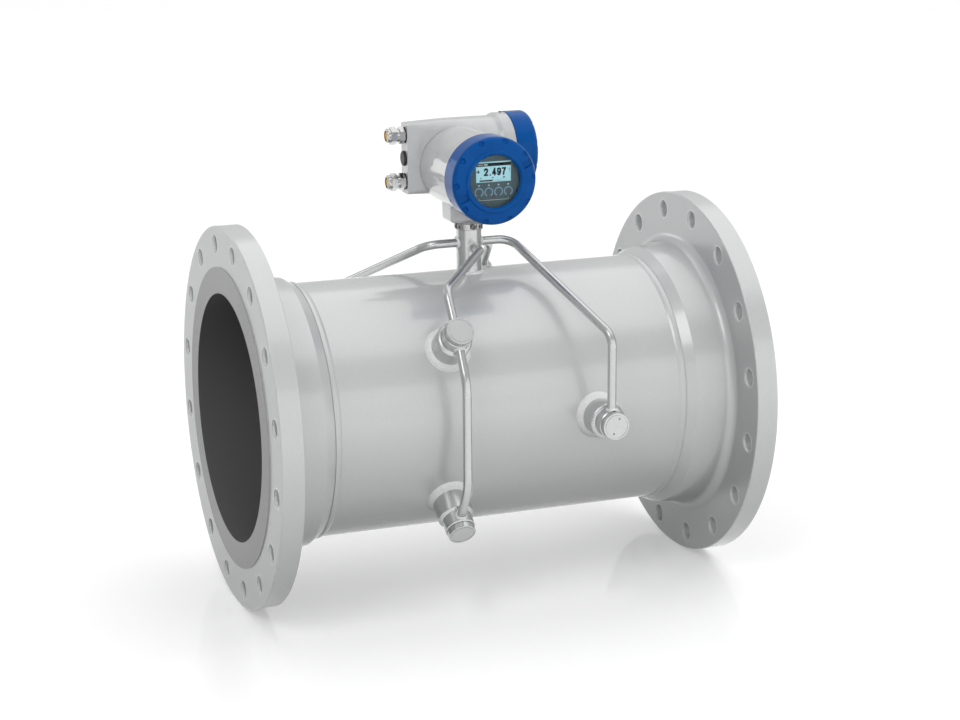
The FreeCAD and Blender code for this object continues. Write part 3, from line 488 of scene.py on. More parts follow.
# Printed fascia, its inks and the back-lit panel: matt, with almost no grain.
FASCIA = Moulded("printed_polycarbonate_slate", "#4d6169", 0.5, specular=0.3, grain_depth_mm=0.01)
SCREEN = Moulded("liquid_crystal_glass", "#b4e0ec", 0.25, specular=0.3, glow=0.2, grain_depth_mm=0.002)
INK_DARK = Moulded("liquid_crystal_dark_segment", "#06181e", 0.5, specular=0.1, grain_depth_mm=0.002)
INK_LIGHT = Moulded("screen_print_white", "#d4dde0", 0.5, grain_depth_mm=0.002)
INK_BLUE = Moulded("screen_print_pale_blue", "#7ea4c0", 0.5, grain_depth_mm=0.002)
INK_RED = Moulded("infrared_lens_brown", "#5a3a34", 0.3, grain_depth_mm=0.002)
# Glass with an anti-reflection layer: clear, with only faint reflections face on.
GLASS = Finish("coated_float_glass", "#f4faf9", 0.0, ior=1.2, transmission=1.0)


@dataclass
class MeshDraft:
    """Points and faces gathered for one mesh."""

    points: list[Vector] = field(default_factory=list)
    faces: list[tuple[int, ...]] = field(default_factory=list)

    def add_skin(self, sections: Sequence[Sequence[Vector]], ring: bool) -> None:
        """Skin closed sections that follow each other along a bar or round a ring.

        Args:
            sections: Loops with the same number of points.
            ring: Whether the last section joins the first; otherwise both ends are closed.
        """
        start = len(self.points)
        size = len(sections[0])
        count = len(sections)
        for section in sections:
            self.points.extend(section)
        for i in range(count if ring else count - 1):
            for j in range(size):
                here = start + i * size
                there = start + (i + 1) % count * size
                beside = (j + 1) % size
                self.faces.append((here + j, there + j, there + beside, here + beside))
        if not ring:
            self.faces.append(tuple(range(start, start + size)))
            self.faces.append(tuple(reversed(range(start + (count - 1) * size, start + count * size))))

    def add_tube(self, path: Sequence[Vector], radii: Sequence[float], sides: int = 10) -> None:
        """Skin a round bar along an open path and close both ends.

        Args:
            path: Points along the bar's middle.
            radii: The bar's radius at each point.
            sides: Corners of its section.
        """
        last = len(path) - 1
        side = (path[1] - path[0]).orthogonal()
        angles = [math.tau * j / sides for j in range(sides)]
        sections = []
        for i, (point, radius) in enumerate(zip(path, radii)):
            ahead = (path[min(i + 1, last)] - path[max(i - 1, 0)]).normalized()
            side = (side - ahead * side.dot(ahead)).normalized()
            across = ahead.cross(side)
            sections.append([point + side * radius * math.cos(angle) + across * radius * math.sin(angle)
                             for angle in angles])
        self.add_skin(sections, ring=False)

    def add_plate(self, outline: Sequence[Vector], thickness: Vector) -> None:
        """Raise a flat outline into a thin plate.

        Args:
            outline: Corners in order round the plate's foot, seen from its top.
            thickness: From the foot to the top.
        """
        start = len(self.points)
        count = len(outline)
        self.points.extend(outline)
        self.points.extend(point + thickness for point in outline)
        self.faces.append(tuple(start + count + i for i in range(count)))
        self.faces.append(tuple(start + i for i in reversed(range(count))))
        for i in range(count):
            beside = (i + 1) % count
            self.faces.append((start + i, start + beside, start + count + beside, start + count + i))

    def mesh(self, name: str, smooth: bool) -> Mesh:
        """Make the mesh.

        Args:
            name: The mesh's name.
            smooth: Whether its faces are shaded smooth.

        Returns:
            The finished mesh.
        """
        made = bpy.data.meshes.new(name)
        made.from_pydata(self.points, [], self.faces)
        shape = bmesh.new()
        shape.from_mesh(made)
        bmesh.ops.recalc_face_normals(shape, faces=shape.faces)
        shape.to_mesh(made)
        shape.free()
        made.polygons.foreach_set("use_smooth", [smooth] * len(made.polygons))
        made.set_sharp_from_angle(angle=math.radians(CRISP_DEG))
        made.update()
        return made


@dataclass
class Workshop:
    """The loaded frame with the means to dress its nodes and to add pieces."""

    frame: dict[str, Any]
    materials: dict[str, Material] = field(default_factory=dict)

    def coat(self, thing: Object, finish: Finish) -> None:
        """Give an object one finish on every slot, with each material made once.

        Args:
            thing: A CAD node or a new piece.
            finish: The finish to put on it.
        """
        if finish.name not in self.materials:
            self.materials[finish.name] = finish.build()
        if not thing.material_slots:
            thing.data.materials.append(self.materials[finish.name])
        for material_slot in thing.material_slots:
            material_slot.material = self.materials[finish.name]

    def dress(self, finish: Finish, *nodes: str) -> None:
        """Put a finish on CAD nodes and report each.

        Args:
            finish: The finish to put on them.
            nodes: The nodes' names.
        """
        for node in nodes:
            self.coat(self.frame["nodes"][node], finish)
            LOG.info("dressed %s as %s", node, finish.name)

    def joint(self, name: str) -> dict[str, Any]:
        """Find a joint of the record by its name."""
        return next(joint for joint in self.frame["joints"] if joint["name"] == name)

    def add_piece(self, name: str, draft: MeshDraft, finish: Finish, body: str, material_slot: str,
                  smooth: bool = True) -> Object:
        """Add a draft as a piece that rides on a body.

        Args:
            name: The piece's name.
            draft: Its points and faces, in the part's frame.
            finish: Its finish.
            body: The CAD body that carries it.
            material_slot: The record's slot that its finish belongs to; not used.
            smooth: Whether its faces are shaded smooth.

        Returns:
            The new object.
        """
        piece = bpy.data.objects.new(name, draft.mesh(name, smooth))
        bpy.context.scene.collection.objects.link(piece)
        self.coat(piece, finish)
        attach(piece, body)
        LOG.info("added %s with %d faces", name, len(draft.faces))
        return piece


@dataclass(frozen=True)
class Bead:
    """A fillet weld where a round branch stands on a round or a flat carrier."""

    foot: Vector
    axis: Vector
    radius: float
    width: float
    height: float
    carrier_point: Vector = ORIGIN
    carrier_axis: Vector = AXIS_X
    carrier_radius: float = 0.0
    pitch: float = 3.6 * MM
    fewest_ripples: int = 8
    ripple_steps: int = 6
    section_steps: int = 7
    sink: float = 0.3 * MM
    # Shares of the bead's legs: its crown, the height and the bow of its ripples, and a slow sway.
    fullness: float = 0.72
    ripple: float = 0.05
    bow: float = 0.45
    sway: float = 0.03
    sway_lobes: int = 3
    sway_phase: float = 1.0

    def landing(self, out: Vector, radius: float) -> Vector:
        """Find where a line beside the branch's axis meets the carrier.

        Args:
            out: Unit vector square to the branch's axis.
            radius: Distance of the line from the axis.

        Returns:
            The point on the carrier's surface.
        """
        start = self.foot + out * radius
        if not self.carrier_radius:
            return start
        reach = start - self.carrier_point
        reach = reach - self.carrier_axis * reach.dot(self.carrier_axis)
        step = self.axis - self.carrier_axis * self.axis.dot(self.carrier_axis)
        a = step.length_squared
        b = reach.dot(step)
        c = reach.length_squared - self.carrier_radius ** 2
        return start + self.axis * ((math.sqrt(max(b * b - a * c, 0.0)) - b) / a)

    def section(self, angle: float, along: float) -> list[Vector]:
        """Draw the bead's section at one place round the branch.

        Args:
            angle: Angle round the branch's axis.
            along: The same place counted in ripples.

        Returns:
            The section's points, closed by its root.
        """
        side = self.axis.orthogonal().normalized()
        out = side * math.cos(angle) + self.axis.cross(side) * math.sin(angle)
        corner = self.landing(out, self.radius)
        toe = self.landing(out, self.radius + self.width) - self.axis * self.sink
        top = corner + self.axis * self.height - out * self.sink
        sway = self.sway * math.sin(self.sway_lobes * angle + self.sway_phase)
        points = [toe]
        for i in range(1, self.section_steps):
            t = i / self.section_steps
            wave = math.cos(math.tau * (along + self.bow * math.sin(math.pi * t)))
            full = self.fullness + self.ripple * wave + sway
            crown = corner + (toe - corner) * full + (top - corner) * full
            points.append(toe * (1 - t) ** 2 + crown * 2 * t * (1 - t) + top * t ** 2)
        return points + [top, corner - out * self.sink - self.axis * self.sink]

    def lay(self, draft: MeshDraft) -> None:
        """Add the bead to a mesh draft.

        Args:
            draft: Mesh draft to add to.
        """
        length = math.tau * (self.radius + self.width / 2)
        count = max(self.fewest_ripples, round(length / self.pitch)) * self.ripple_steps
        sections = [self.section(math.tau * i / count, i / self.ripple_steps) for i in range(count)]
        draft.add_skin(sections, ring=True)


@dataclass
class Spool:
    """The flanged pipe with its girth welds and the bevels of its bolt holes."""

    shop: Workshop
    weld_width: float = 11.5 * MM
    weld_rise: float = 1.2 * MM
    weld_pitch: float = 3.6 * MM
    weld_ripple: float = 0.1 * MM
    weld_bow: float = 0.4
    weld_steps: int = 8
    ripple_steps: int = 4
    hub_step: float = 2.5 * MM
    bead_share: float = 0.88
    crevice_depth: float = 1.0 * MM
    sink: float = 0.2 * MM
    bolt_count: int = 16
    bolt_circle: float = 269.875 * MM
    bolt_hole: float = 14.3 * MM
    plate_back: float = 363.4 * MM
    plate_front: float = 398.4 * MM
    bevel: float = 2.0 * MM
    bevel_sides: int = 40

    def dress(self) -> None:
        """Coat the tube and both flanges, lay the girth welds and bevel the bolt holes."""
        self.shop.dress(SPOOL_COAT, "measuring_tube", "inlet_flange", "outlet_flange")
        self.lay_girth_welds()
        self.bevel_bolt_holes()

    def lay_girth_welds(self) -> None:
        """Cap both girth joints with a rippled bead as wide as the CAD weld."""
        low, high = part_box("girth_welds")
        ripples = round(math.tau * high.z / self.weld_pitch)
        count = ripples * self.ripple_steps
        draft = MeshDraft()
        for middle in (low.x + self.weld_width / 2, high.x - self.weld_width / 2):
            sections = [self.girth_section(middle, i / count, ripples) for i in range(count)]
            draft.add_skin(sections, ring=True)
        beads = self.shop.add_piece("girth_weld_beads", draft, SPOOL_COAT, "meter_body", "raw_weld")
        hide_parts("girth_welds")

    def girth_section(self, middle: float, share: float, ripples: int) -> list[Vector]:
        """Draw a girth weld's section at one place round the pipe.

        Args:
            middle: Place of the joint along the pipe.
            share: Place round the pipe, from 0 to 1.
            ripples: Ripples in one turn.

        Returns:
            The section's points, from the tube to the crevice beside the hub, closed by its root.
        """
        out = spoke(math.tau * share)
        tube_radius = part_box("measuring_tube")[1].z
        outwards = math.copysign(self.weld_width, middle)
        points = []
        for i in range(self.weld_steps + 1):
            t = i / self.weld_steps
            hump = math.sin(math.pi * t)
            wave = math.cos(math.tau * (share * ripples + self.weld_bow * hump))
            rise = self.hub_step * t + hump * (self.weld_rise + self.weld_ripple * wave) - self.sink
            place = middle + outwards * (t * self.bead_share - 0.5)
            points.append(AXIS_X * place + out * (tube_radius + rise))
        for edge in (self.bead_share - 0.5, 0.5):
            points.append(AXIS_X * (middle + outwards * edge) + out * (tube_radius - self.crevice_depth))
        return points + [AXIS_X * middle + out * (tube_radius - 2 * self.crevice_depth)]

    def bevel_bolt_holes(self) -> None:
        """Turn a narrow bevel round both ends of every bolt hole."""
        draft = MeshDraft()
        for end in (-1, 1):
            for plane, way in ((self.plate_back, -1), (self.plate_front, 1)):
                for i in range(self.bolt_count):
                    out = spoke(math.tau * (i + 0.5) / self.bolt_count)
                    middle = AXIS_X * end * plane + out * self.bolt_circle
                    draft.add_skin(self.bevel_sections(middle, end * way), ring=True)
        # The bevels take the paler lacquer: a painted highlight round both ends of every bolt hole.
        self.shop.add_piece("bolt_hole_bevels", draft, EDGE_HIGHLIGHT, "meter_body", "silver_coat")

    def bevel_sections(self, middle: Vector, way: int) -> list[list[Vector]]:
        """Draw the sections of one bolt hole's bevel.

        Args:
            middle: Middle of the hole, on the plate's surface.
            way: Which way the surface faces along the pipe, 1 or -1.

        Returns:
            The sections round the hole.
        """
        profile = ((-self.sink, -2 * self.bevel), (-self.sink, -self.bevel / 2), (self.bevel / 2, self.sink),
                   (self.bevel, self.sink / 2), (self.bevel + self.sink, -self.sink))
        sections = []
        for i in range(self.bevel_sides):
            out = spoke(math.tau * i / self.bevel_sides)
            sections.append([middle + out * (self.bolt_hole + reach) + AXIS_X * way * height
                             for reach, height in profile])
        return sections


@dataclass
class SensorSet:
    """Sensor pockets, their caps, the conduits between them and the stem they run to."""

    shop: Workshop
    nozzle_radius: float = 28.0 * MM
    nozzle_length: float = 37.0 * MM
    pocket_radius: float = 23.0 * MM
    entry_height: float = 52.0 * MM
    link_inset: float = 8.0 * MM
    foot_leg: float = 9.0 * MM
    foot_rise: float = 7.5 * MM
    step_rise: float = 4.0 * MM
    stem_leg: float = 3.5 * MM
    collar_leg: float = 2.6 * MM
    collar_pitch: float = 2.4 * MM

    def dress(self) -> None:
        """Coat the pockets, caps, conduits and stem, and lay their welds."""
        for side in Side:
            for site in Site:
                place = f"{side.value}_{site.value}"
                self.shop.dress(BRUSHED, f"sensor_pocket_{place}", f"sensor_cap_{place}")
                self.shop.dress(RUBBER, f"cap_seal_{place}")
                self.shop.dress(STEEL, f"transducer_{place}")
            self.shop.dress(BRUSHED, *[f"conduit_{side.value}_{run.value}" for run in Run])
        self.shop.dress(BRUSHED, "stem")
        self.shop.dress(STEEL, "stem_collar")
        self.shop.dress(SCREW, "collar_screws")
        self.lay_pocket_welds()
        self.lay_stem_weld()
        self.lay_conduit_welds()

    @property
    def tube_radius(self) -> float:
        """Radius of the tube that the pockets stand on."""
        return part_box("measuring_tube")[1].z

    @property
    def stem_radius(self) -> float:
        """Radius of the stem."""
        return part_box("stem")[1].x

    @property
    def conduit_radius(self) -> float:
        """Radius of the bent conduits."""
        low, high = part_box("conduit_front_link")
        return (high.x - low.x) / 2

    def axis_of(self, side: Side, site: Site) -> tuple[Vector, Vector]:
        """Find a pocket's axis from the joint of its cap.

        Args:
            side: Side of the pipe.
            site: Place on that side.

        Returns:
            The point where the axis meets the pipe's axis, and its outward direction.
        """
        turn = self.shop.joint(f"cap_{side.value}_{site.value}_turn")
        return AXIS_X * turn["pos_m"][0], Vector(turn["axis"]).normalized()

    def lay_pocket_welds(self) -> None:
        """Lay the rippled beads at each nozzle's foot and at its step."""
        feet = MeshDraft()
        steps = MeshDraft()
        for side in Side:
            for site in Site:
                root, out = self.axis_of(side, site)
                Bead(root, out, self.nozzle_radius, self.foot_leg, self.foot_rise,
                     carrier_radius=self.tube_radius).lay(feet)
                step = root + out * (self.tube_radius + self.nozzle_length)
                Bead(step, out, self.pocket_radius, self.nozzle_radius - self.pocket_radius,
                     self.step_rise).lay(steps)
        # The foot beads are painted near white: weld metal with a painted highlight.
        beads = self.shop.add_piece("pocket_weld_beads", feet, WELD_AND_HIGHLIGHT, "meter_body", "raw_weld")
        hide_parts("pocket_welds")
        self.shop.add_piece("pocket_step_beads", steps, BRUSHED, "meter_body", "raw_weld")

    def lay_stem_weld(self) -> None:
        """Lay the rippled bead round the stem's foot."""
        draft = MeshDraft()
        Bead(ORIGIN, AXIS_Z, self.stem_radius, self.stem_leg, self.stem_leg,
             carrier_radius=self.tube_radius).lay(draft)
        # The stem's bead is painted near white: weld metal with a painted highlight.
        bead = self.shop.add_piece("stem_weld_bead", draft, WELD_AND_HIGHLIGHT, "meter_body", "raw_weld")
        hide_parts("stem_weld")

    def lay_conduit_welds(self) -> None:
        """Lay the small collars where conduits run into the stem and the pockets."""
        draft = MeshDraft()
        for side in Side:
            turn = 1 if side is Side.FRONT else -1
            for run, way in ((Run.TOP, -AXIS_Y * turn), (Run.MID, AXIS_X * turn)):
                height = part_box(f"conduit_{side.value}_{run.value}")[1].z - self.conduit_radius
                self.lay_collar(draft, AXIS_Z * height, way, (ORIGIN, AXIS_Z, self.stem_radius))
            for site in Site:
                self.lay_pocket_collars(draft, side, site)
        # The collars are painted near white: weld metal with a painted highlight.
        self.shop.add_piece("conduit_weld_collars", draft, WELD_AND_HIGHLIGHT, "meter_body", "raw_weld")

    def lay_pocket_collars(self, draft: MeshDraft, side: Side, site: Site) -> None:
        """Lay the collars of the conduits that run into one pocket, upwards or to the bend of the link.

        Args:
            draft: Mesh draft to add to.
            side: Side of the pipe.
            site: Place on that side.
        """
        root, out = self.axis_of(side, site)
        entry = root + out * (self.tube_radius + self.entry_height)
        upwards = out.cross(AXIS_X)
        ways = [] if site is Site.BOTTOM else [upwards if upwards.z > 0 else -upwards]
        if site is not Site.MID:
            reach = self.tube_radius + self.entry_height
            knee = reach * math.tan(math.asin(abs(out.z)) / 2)
            link_bend = Vector((root.x, math.copysign(reach - self.link_inset, out.y),
                                knee if site is Site.TOP else -knee))
            ways.append((link_bend - entry).normalized())
        for way in ways:
            self.lay_collar(draft, entry, way, (root, out, self.pocket_radius))

    def lay_collar(self, draft: MeshDraft, point: Vector, way: Vector,
                   carrier: tuple[Vector, Vector, float]) -> None:
        """Lay one small weld collar.

        Args:
            draft: Mesh draft to add to.
            point: A point on the conduit's line, inside the carrier.
            way: Direction in which the conduit leaves.
            carrier: A point on the carrier's axis, the axis and the carrier's radius.
        """
        Bead(point, way, self.conduit_radius, self.collar_leg, self.collar_leg, *carrier,
             pitch=self.collar_pitch).lay(draft)


@dataclass
class ConverterHead:
    """The cast housing with its covers, glands and inner units."""

    shop: Workshop
    barrel_root: float = 63.5 * MM
    barrel_mouth: float = 65.5 * MM
    barrel_back_y: float = 52.0 * MM
    barrel_mouth_y: float = -74.0 * MM
    seam_first_deg: int = 96
    seam_last_deg: int = 224
    seam_radius: float = 0.9 * MM
    seam_lift: float = 0.8 * MM
    rib_angles_deg: tuple[int, ...] = (150, 207)
    rib_radius: float = 0.45 * MM
    pip_angle_deg: int = 177
    pip_radius: float = 1.7 * MM
    lock_radius: float = 2.3 * MM
    lock_inset: float = 7.0 * MM
    # Heights and radii of the pip and of the lock screw with its socket, as shares of their radius.
    pip_profile: tuple[tuple[float, float], ...] = ((-0.5, 1.0), (0.6, 1.0), (1.1, 0.7), (1.3, 0.2))
    pip_sides: int = 16
    lock_profile: tuple[tuple[float, float], ...] = (
        (-1.0, 1.0), (0.55, 1.0), (0.7, 0.85), (0.7, 0.5), (0.2, 0.5))
    lock_sides: int = 18

    def dress(self) -> None:
        """Coat every node of the head and add the casting's small marks."""
        dress = self.shop.dress
        dress(HOUSING, "converter_housing")
        dress(COVER, "front_cover", "terminal_cover")
        dress(RUBBER, "front_cover_seal", "terminal_cover_seal", "window_gasket", "gland_gaskets")
        dress(SCREW, "cover_lock_screw")
        dress(GLASS, "window")
        dress(FASCIA, "display_fascia")
        dress(SCREEN, "lcd_panel")
        dress(POTTING, "electronics_unit")
        dress(GREY_PLASTIC, "terminal_block")
        dress(BLACK_PLASTIC, "blanking_plug")
        for place in ("upper", "lower"):
            dress(NICKEL, f"gland_body_{place}", f"gland_nut_{place}")
            dress(YELLOW_PLASTIC, f"gland_plug_{place}")
        self.mark_casting()
        self.add_cover_lock()

    def barrel_point(self, angle_deg: float, y: float, lift: float) -> Vector:
        """Find a point beside the display barrel's surface.

        Args:
            angle_deg: Angle about the display axis, from +X towards +Z.
            y: Place along the axis.
            lift: Height above the surface.

        Returns:
            The point.
        """
        share = (self.barrel_back_y - y) / (self.barrel_back_y - self.barrel_mouth_y)
        radius = self.barrel_root + (self.barrel_mouth - self.barrel_root) * share + lift
        angle = math.radians(angle_deg)
        centre = self.shop.joint("front_cover_turn")["pos_m"]
        return Vector((centre[0] + radius * math.cos(angle), y, centre[2] + radius * math.sin(angle)))

    def mark_casting(self) -> None:
        """Draw the seam between display barrel and block, its pip and the two parting lines beside it."""
        housing = self.shop.frame["nodes"]["converter_housing"]
        corners = [housing.matrix_world @ vertex.co for vertex in housing.data.vertices]
        surface = BVHTree.FromPolygons(corners, [tuple(face.vertices) for face in housing.data.polygons])
        seam = {}
        for degree in range(self.seam_first_deg, self.seam_last_deg + 1):
            start = self.barrel_point(degree, self.barrel_mouth_y, self.seam_radius)
            hit = surface.ray_cast(start, AXIS_Y)[0]
            if hit:
                seam[degree] = self.barrel_point(degree, hit.y, self.seam_lift)
        draft = MeshDraft()
        draft.add_tube(list(seam.values()), [self.seam_radius] * len(seam))
        for degree in self.rib_angles_deg:
            ends = [self.barrel_point(degree, y, -self.rib_radius / 2)
                    for y in (self.barrel_mouth_y, seam[degree].y)]
            draft.add_tube(ends, [self.rib_radius] * len(ends))
        pip = seam[self.pip_angle_deg]
        draft.add_tube([pip - AXIS_Y * self.pip_radius * height for height, share in self.pip_profile],
                       [self.pip_radius * share for height, share in self.pip_profile], self.pip_sides)
        self.shop.add_piece("casting_seam", draft, HOUSING, "converter_head", "grey_casting")

    def add_cover_lock(self) -> None:
        """Set the small grub screw that locks the terminal cover into the top of its barrel."""
        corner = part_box("converter_housing")[1]
        low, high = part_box("terminal_cover")
        top = Vector((corner.x - self.lock_inset, (low.y + high.y) / 2, corner.z))
        draft = MeshDraft()
        draft.add_tube([top + AXIS_Z * self.lock_radius * height for height, share in self.lock_profile],
                       [self.lock_radius * share for height, share in self.lock_profile], self.lock_sides)
        self.shop.add_piece("terminal_cover_lock_screw", draft, SCREW, "converter_head", "screw_steel")


@dataclass
class InkLayer(MeshDraft):
    """A flat print that faces -Y, with its places counted to the right of its origin and above it."""

    origin: Vector = ORIGIN
    thickness: float = 0.08 * MM
    dot_sides: int = 24
    ring_steps: int = 40

    def patch(self, corners: Sequence[Sequence[float]]) -> None:
        """Lay ink inside an outline."""
        self.add_plate([self.origin + Vector((x, 0, z)) for x, z in corners], AXIS_Y * -self.thickness)

    def bar(self, x: float, z: float, width: float, height: float) -> None:
        """Print an upright rectangle about a middle."""
        self.patch([(x + u * width, z + v * height) for u, v in SQUARE])

    def dot(self, x: float, z: float, radius: float) -> None:
        """Print a round dot about a middle."""
        angles = [math.tau * i / self.dot_sides for i in range(self.dot_sides)]
        self.patch([(x + radius * math.cos(angle), z + radius * math.sin(angle)) for angle in angles])

    def line(self, points: Sequence[Vector], width: float) -> None:
        """Print a thick line with square ends.

        Args:
            points: Its corners, each a place across and up.
            width: Width of the line.
        """
        for start, end in zip(points, points[1:]):
            along = (end - start).normalized() * width / 2
            across = Vector((along.y, -along.x))
            self.patch([start - along + across, end + along + across,
                        end + along - across, start - along - across])

    def ring(self, x: float, z: float, radius: float, width: float, gap_deg: float) -> None:
        """Print a ring that is open at its foot.

        Args:
            x: Place of its middle across.
            z: Place of its middle up.
            radius: Radius of the line's middle.
            width: Width of the line.
            gap_deg: Angle of the opening.
        """
        inner = radius - width / 2
        outer = radius + width / 2
        step = (360 - gap_deg) / self.ring_steps
        edges = [math.radians(gap_deg / 2 - 90 + step * i) for i in range(self.ring_steps + 1)]
        for low, high in zip(edges, edges[1:]):
            corners = ((low, inner), (low, outer), (high, outer), (high, inner))
            self.patch([(x + reach * math.cos(angle), z + reach * math.sin(angle))
                        for angle, reach in corners])


@dataclass
class DisplayPrint:
    """Reading, bar graph and key marks on the liquid-crystal panel and the fascia."""

    shop: Workshop
    header_height: float = 5.0 * MM
    header_drop: float = 4.6 * MM
    header_mark: float = 1.2 * MM
    header_pitch: float = 1.6 * MM
    # Rows of marks in the header: the first one's place in millimetres, their number and height.
    header_rows: tuple[tuple[float, int, float], ...] = ((3.8, 5, 1.5), (13.4, 4, 2.3))
    digit_width: float = 6.8 * MM
    digit_height: float = 11.8 * MM
    digit_stroke: float = 2.5 * MM
    digit_foot: float = 9.7 * MM
    # Figures of the reading, each with its left edge in millimetres.
    reading: tuple[tuple[str, float], ...] = (("2", 12.9), ("4", 26.2), ("9", 34.2), ("7", 42.2))
    # Bars on the panel in millimetres: place of the middle across and up, width and height.
    # First the reading's point, its plus sign and the neutral marks of its unit.
    reading_bars: tuple[tuple[float, ...], ...] = (
        (23.3, 10.8, 2.2, 2.2), (3.6, 16.4, 5.4, 1.4), (3.6, 16.4, 1.4, 5.4),
        (54.8, 19.2, 2.4, 0.7), (54.8, 17.2, 1.8, 0.7), (54.8, 14.6, 1.2, 0.7))
    # Then the filled part of the bar graph, its two edges and the marks above it.
    graph_bars: tuple[tuple[float, ...], ...] = (
        (16.35, 2.3, 21.3, 2.2), (27.15, 1.3, 42.9, 0.2), (27.15, 3.3, 42.9, 0.2),
        (7.8, 6.4, 2.2, 1.2), (27.3, 6.4, 2.2, 1.8), (45.7, 6.4, 3.6, 1.8))
    key_count: int = 4
    key_pitch: float = 16.0 * MM
    key_drop: float = 17.0 * MM
    key_radius: float = 6.3 * MM
    key_stroke: float = 1.7 * MM
    key_gap_deg: float = 56.0
    label_rise: float = 4.2 * MM
    label_bar: tuple[float, float] = (2.6 * MM, 1.5 * MM)
    label_tick: tuple[float, float] = (1.0 * MM, 2.5 * MM)
    tick_shift: float = 0.9 * MM
    tick_shift_step: float = 0.6 * MM
    line_drop: float = 29.5 * MM
    line_width: float = 0.5 * MM
    line_hook: float = 3.2 * MM
    key_lens: float = 1.3 * MM
    foot_lens: float = 1.0 * MM
    middle_lens: float = 2.0 * MM
    middle_lens_drop: float = 1.2 * MM

    def dress(self) -> None:
        """Print the panel and the fascia."""
        self.print_header()
        self.print_reading()
        self.print_keys()

    def add_print(self, name: str, layer: InkLayer, finish: Finish, slot: str) -> None:
        """Add a flat print to the head."""
        self.shop.add_piece(name, layer, finish, "converter_head", slot, smooth=False)

    def print_header(self) -> None:
        """Print the dark bar along the panel's top and the small marks in it."""
        low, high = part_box("lcd_panel")
        width = high.x - low.x
        middle = high.z - low.z - self.header_drop
        band = InkLayer(origin=low)
        band.bar(width / 2, middle, width, self.header_height)
        self.add_print("display_header", band, INK_DARK, "lcd")
        marks = InkLayer(origin=low - AXIS_Y * band.thickness)
        for left, count, height in self.header_rows:
            for i in range(count):
                marks.bar(left * MM + self.header_pitch * i, middle, self.header_mark, height * MM)
        self.add_print("display_header_marks", marks, INK_LIGHT, "lcd")

    def print_reading(self) -> None:
        """Print the reading with its sign and unit, and the bar graph along the panel's foot."""
        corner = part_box("lcd_panel")[0]
        figures = InkLayer(origin=corner)
        half = self.digit_stroke / 2
        foot = self.digit_foot + half
        for sign, left in self.reading:
            points = [Vector((left * MM + half + u * (self.digit_width - self.digit_stroke),
                              foot + v * (self.digit_height - self.digit_stroke))) for u, v in FIGURES[sign]]
            figures.line(points, self.digit_stroke)
        graph = InkLayer(origin=corner)
        for layer, rows in ((figures, self.reading_bars), (graph, self.graph_bars)):
            for row in rows:
                layer.bar(*[size * MM for size in row])
        self.add_print("display_figures", figures, INK_DARK, "lcd")
        self.add_print("display_bar_graph", graph, INK_DARK, "lcd")

    def print_keys(self) -> None:
        """Print the four key rings, their marks and lenses, and the line that joins them."""
        centre = self.shop.joint("front_cover_turn")["pos_m"]
        fascia = Vector((centre[0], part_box("display_fascia")[0].y, centre[2]))
        rings, marks, lenses = [InkLayer(origin=fascia) for i in range(3)]
        span = (self.key_count - 1) * self.key_pitch
        label = self.key_radius - self.key_drop + self.label_rise
        foot = -self.key_drop - self.key_radius
        for i in range(self.key_count):
            x = i * self.key_pitch - span / 2
            rings.ring(x, -self.key_drop, self.key_radius, self.key_stroke, self.key_gap_deg)
            marks.bar(x, label, *self.label_bar)
            marks.bar(x + self.tick_shift - self.tick_shift_step * i, label, *self.label_tick)
            lenses.dot(x, -self.key_drop, self.key_lens)
            lenses.dot(x, foot, self.foot_lens)
        marks.bar(0, -self.line_drop, span, self.line_width)
        for end in (-span / 2, span / 2):
            marks.bar(end, self.line_hook / 2 - self.line_drop, self.line_width, self.line_hook)
        lenses.dot(0, foot - self.middle_lens_drop, self.middle_lens)
        self.add_print("key_rings", rings, INK_BLUE, "fascia")
        self.add_print("key_marks", marks, INK_LIGHT, "fascia")
        self.add_print("key_lenses", lenses, INK_RED, "fascia")


@dataclass(frozen=True)
class Softbox:
    """A bright rectangle of the studio, far away in one direction."""

    azimuth_deg: float
    elevation_deg: float
    half_width: float
    half_height: float
    strength: float
    soft: float

    def add(self, tree: NodeTree, sight: NodeSocket) -> Node:
        """Add the box to the world.

        Args:
            tree: The world's node tree.
            sight: Direction of sight.

        Returns:
            The box's brightness in that direction.
        """
        middle = heading(self.azimuth_deg, self.elevation_deg)
        right = AXIS_Z.cross(middle).normalized()
        axes = [add_node(tree, "ShaderNodeVectorMath", {"operation": "DOT_PRODUCT", 1: axis}, {0: sight})
                for axis in (middle, right, middle.cross(right))]
        ahead, across, up = [node.outputs["Value"] for node in axes]
        result = add_node(tree, "ShaderNodeMath", {"operation": "GREATER_THAN", 1: 0.0}, {0: ahead})
        for reach, half in ((across, self.half_width), (up, self.half_height)):
            slope = add_node(tree, "ShaderNodeMath", {"operation": "DIVIDE"}, {0: reach, 1: ahead})
            size = add_node(tree, "ShaderNodeMath", {"operation": "ABSOLUTE"}, {0: slope})
            edge = add_node(tree, "ShaderNodeMapRange",
                            {"interpolation_type": "SMOOTHSTEP", "From Min": half,
                             "From Max": half + self.soft, "To Min": 1.0, "To Max": 0.0}, {"Value": size})
            result = add_node(tree, "ShaderNodeMath", {"operation": "MULTIPLY"}, {0: result, 1: edge})
        return add_node(tree, "ShaderNodeMath", {"operation": "MULTIPLY", 1: self.strength}, {0: result})


